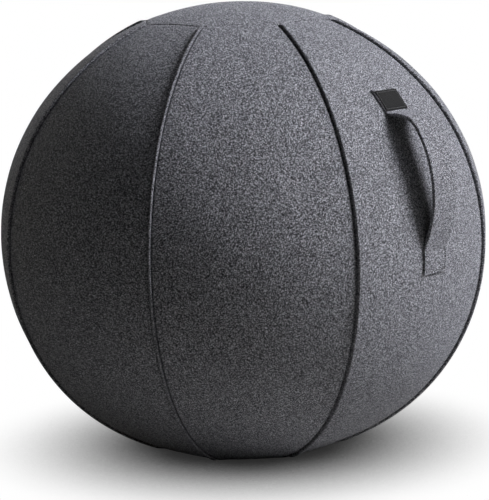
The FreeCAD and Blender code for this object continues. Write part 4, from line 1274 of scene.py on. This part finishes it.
def build_ball():
    outer = ball_line(SKIN_OUT, SKIN_FLOOR, BALL_GAP)
    inner = ball_line(SKIN_OUT + BALL_WALL, SKIN_FLOOR + BALL_WALL, BALL_GAP + BALL_WALL)
    ball = spun("ball_skin", outer + inner[::-1], 112, ball_vinyl, ["bladder"])
    arm = SIDE_RADIUS - SKIN_OUT
    middle = (outward(VALVE_AZIMUTH) * (SIDE_SETOFF + arm * math.cos(VALVE_TURN))
              + UP * (EQUATOR + arm * math.sin(VALVE_TURN)))
    axis = outward(VALVE_AZIMUTH) * math.cos(VALVE_TURN) + UP * math.sin(VALVE_TURN)
    bm = bmesh.new()
    bmesh.ops.create_cone(bm, cap_ends=True, segments=48, radius1=SEAT_RADIUS + SEAT_CLEARANCE,
                          radius2=SEAT_RADIUS + SEAT_CLEARANCE, depth=0.02)
    cutter = add_object("seat_cutter", mesh_from(bm, "seat_cutter"))
    cutter.data.transform(Matrix.Translation(middle) @ axis.to_track_quat("Z", "Y").to_matrix().to_4x4())
    cut = ball.modifiers.new("seat_opening", "BOOLEAN")
    cut.operation = "DIFFERENCE"
    cut.object = cutter
    cut.solver = "EXACT"
    graph = bpy.context.evaluated_depsgraph_get()
    done = bpy.data.meshes.new_from_object(ball.evaluated_get(graph))
    ball.modifiers.clear()
    ball.data = done
    bpy.data.objects.remove(cutter)


build_ball()

for node_name, finish in (("ballast_ring", cast_iron), ("valve_seat", valve_vinyl),
                          ("valve_plug", valve_vinyl)):
    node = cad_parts[node_name]
    node.data.materials.clear()
    node.data.materials.append(finish)


# Camera, at the photograph's angle
VIEW_AZIMUTH, VIEW_ELEVATION, VIEW_ROLL = math.radians(-47.4), math.radians(9.16), math.radians(1.6)
VIEW_DISTANCE = 2.844
VIEW_LENS, VIEW_FILM = 155.7, 36.0
VIEW_SHIFT = (0.0035, -0.0383)


def set_camera():
    target = Vector((0.0, 0.0, EQUATOR))
    towards = outward(VIEW_AZIMUTH) * math.cos(VIEW_ELEVATION) + UP * math.sin(VIEW_ELEVATION)
    camera_data = bpy.data.cameras.new("photo_camera")
    camera_data.lens = VIEW_LENS
    camera_data.sensor_width = VIEW_FILM
    camera_data.shift_x, camera_data.shift_y = VIEW_SHIFT
    camera_data.dof.use_dof = False
    camera = add_object("photo_camera", camera_data)
    camera.location = target + towards * VIEW_DISTANCE
    look = (-towards).to_track_quat("-Z", "Y")
    camera.rotation_mode = "QUATERNION"
    camera.rotation_quaternion = look @ Matrix.Rotation(-VIEW_ROLL, 3, "Z").to_quaternion()
    bpy.context.scene.camera = camera


set_camera()


# Studio: a soft key from the upper right, a lamp behind and one behind on the left, a weak one overhead
def softbox(name, azimuth, height, distance, aim_height, size, power, colour=(1.0, 1.0, 1.0)):
    data = bpy.data.lights.new(name, "AREA")
    data.shape = "RECTANGLE"
    data.size, data.size_y = size
    data.energy = power
    data.color = colour
    lamp = add_object(name, data)
    lamp.location = outward(math.radians(azimuth)) * distance + UP * height
    aim = Vector((0.0, 0.0, aim_height))
    lamp.rotation_euler = (aim - lamp.location).to_track_quat("-Z", "Y").to_euler()


softbox("key", 33, 1.6, 1.8, 0.28, (0.9, 0.9), 51.5, (0.97, 0.98, 1.05))
softbox("back", 142, 1.1, 2.0, 0.28, (1.2, 1.2), 10.0)
softbox("rim_left", -172, 1.2, 2.0, 0.28, (0.9, 0.9), 3.0, (1.0, 0.93, 0.72))
softbox("overhead", 5, 2.5, 0.5, 0.3, (1.2, 1.2), 3.2, (0.94, 0.97, 1.08))


WHITE = (1.0, 1.0, 1.0, 1.0)
SURROUNDINGS = (1.0, 0.9, 0.66, 1.0)
SURROUNDINGS_STRENGTH = 0.006
FLOOR_COLOUR = (0.55, 0.54, 0.51, 1.0)
FLOOR_RADIUS = 6.0
# Shadow on the floor: how far it looks for what shades it, and from which share of open sky to which
# share it goes from nearly black to white
SHADE_REACH = 0.2
SHADE_RANGE = (0.04, 0.85, 0.02, 1.0)


def cleared_tree(owner):
    owner.use_nodes = True
    owner.node_tree.nodes.clear()
    return owner.node_tree


def show_two(tree, share, first, second, output_kind):
    """Mix the first shader with the second by a share, and lead them to the output."""
    mixed = add_node(tree, "ShaderNodeMixShader")
    for target, source in zip(mixed.inputs, (share, first.outputs[0], second.outputs[0])):
        link(tree, source, target)
    link(tree, mixed.outputs[0], add_node(tree, output_kind).inputs[0])


def build_world():
    """Dim surroundings for the light that they throw, and plain white for the camera to see."""
    world = bpy.data.worlds.new("studio")
    bpy.context.scene.world = world
    tree = cleared_tree(world)
    path = add_node(tree, "ShaderNodeLightPath")
    seen = math_node(tree, "MAXIMUM", path.outputs["Is Camera Ray"], path.outputs["Is Glossy Ray"])
    seen = math_node(tree, "MAXIMUM", seen, path.outputs["Is Transmission Ray"])
    around, white = add_node(tree, "ShaderNodeBackground"), add_node(tree, "ShaderNodeBackground")
    set_inputs(around, Color=SURROUNDINGS, Strength=SURROUNDINGS_STRENGTH)
    set_inputs(white, Color=WHITE)
    show_two(tree, seen, around, white, "ShaderNodeOutputWorld")


def build_floor():
    """Pale floor: plain for the light that it throws back, white to the camera where nothing shades it."""
    bm = bmesh.new()
    bmesh.ops.create_circle(bm, cap_ends=True, segments=64, radius=FLOOR_RADIUS)
    floor = add_object("floor", mesh_from(bm, "floor"))
    material = bpy.data.materials.new("white_floor")
    tree = cleared_tree(material)
    path = add_node(tree, "ShaderNodeLightPath")
    plain, white = add_node(tree, "ShaderNodeBsdfDiffuse"), add_node(tree, "ShaderNodeEmission")
    set_inputs(plain, Color=FLOOR_COLOUR)
    sky = add_node(tree, "ShaderNodeAmbientOcclusion", samples=16)
    set_inputs(sky, Distance=SHADE_REACH)
    link(tree, remap(tree, sky.outputs["AO"], *SHADE_RANGE), white.inputs["Strength"])
    show_two(tree, path.outputs["Is Camera Ray"], plain, white, "ShaderNodeOutputMaterial")
    floor.data.materials.append(material)


build_world()
build_floor()
bpy.context.scene.view_settings.view_transform = "Standard"
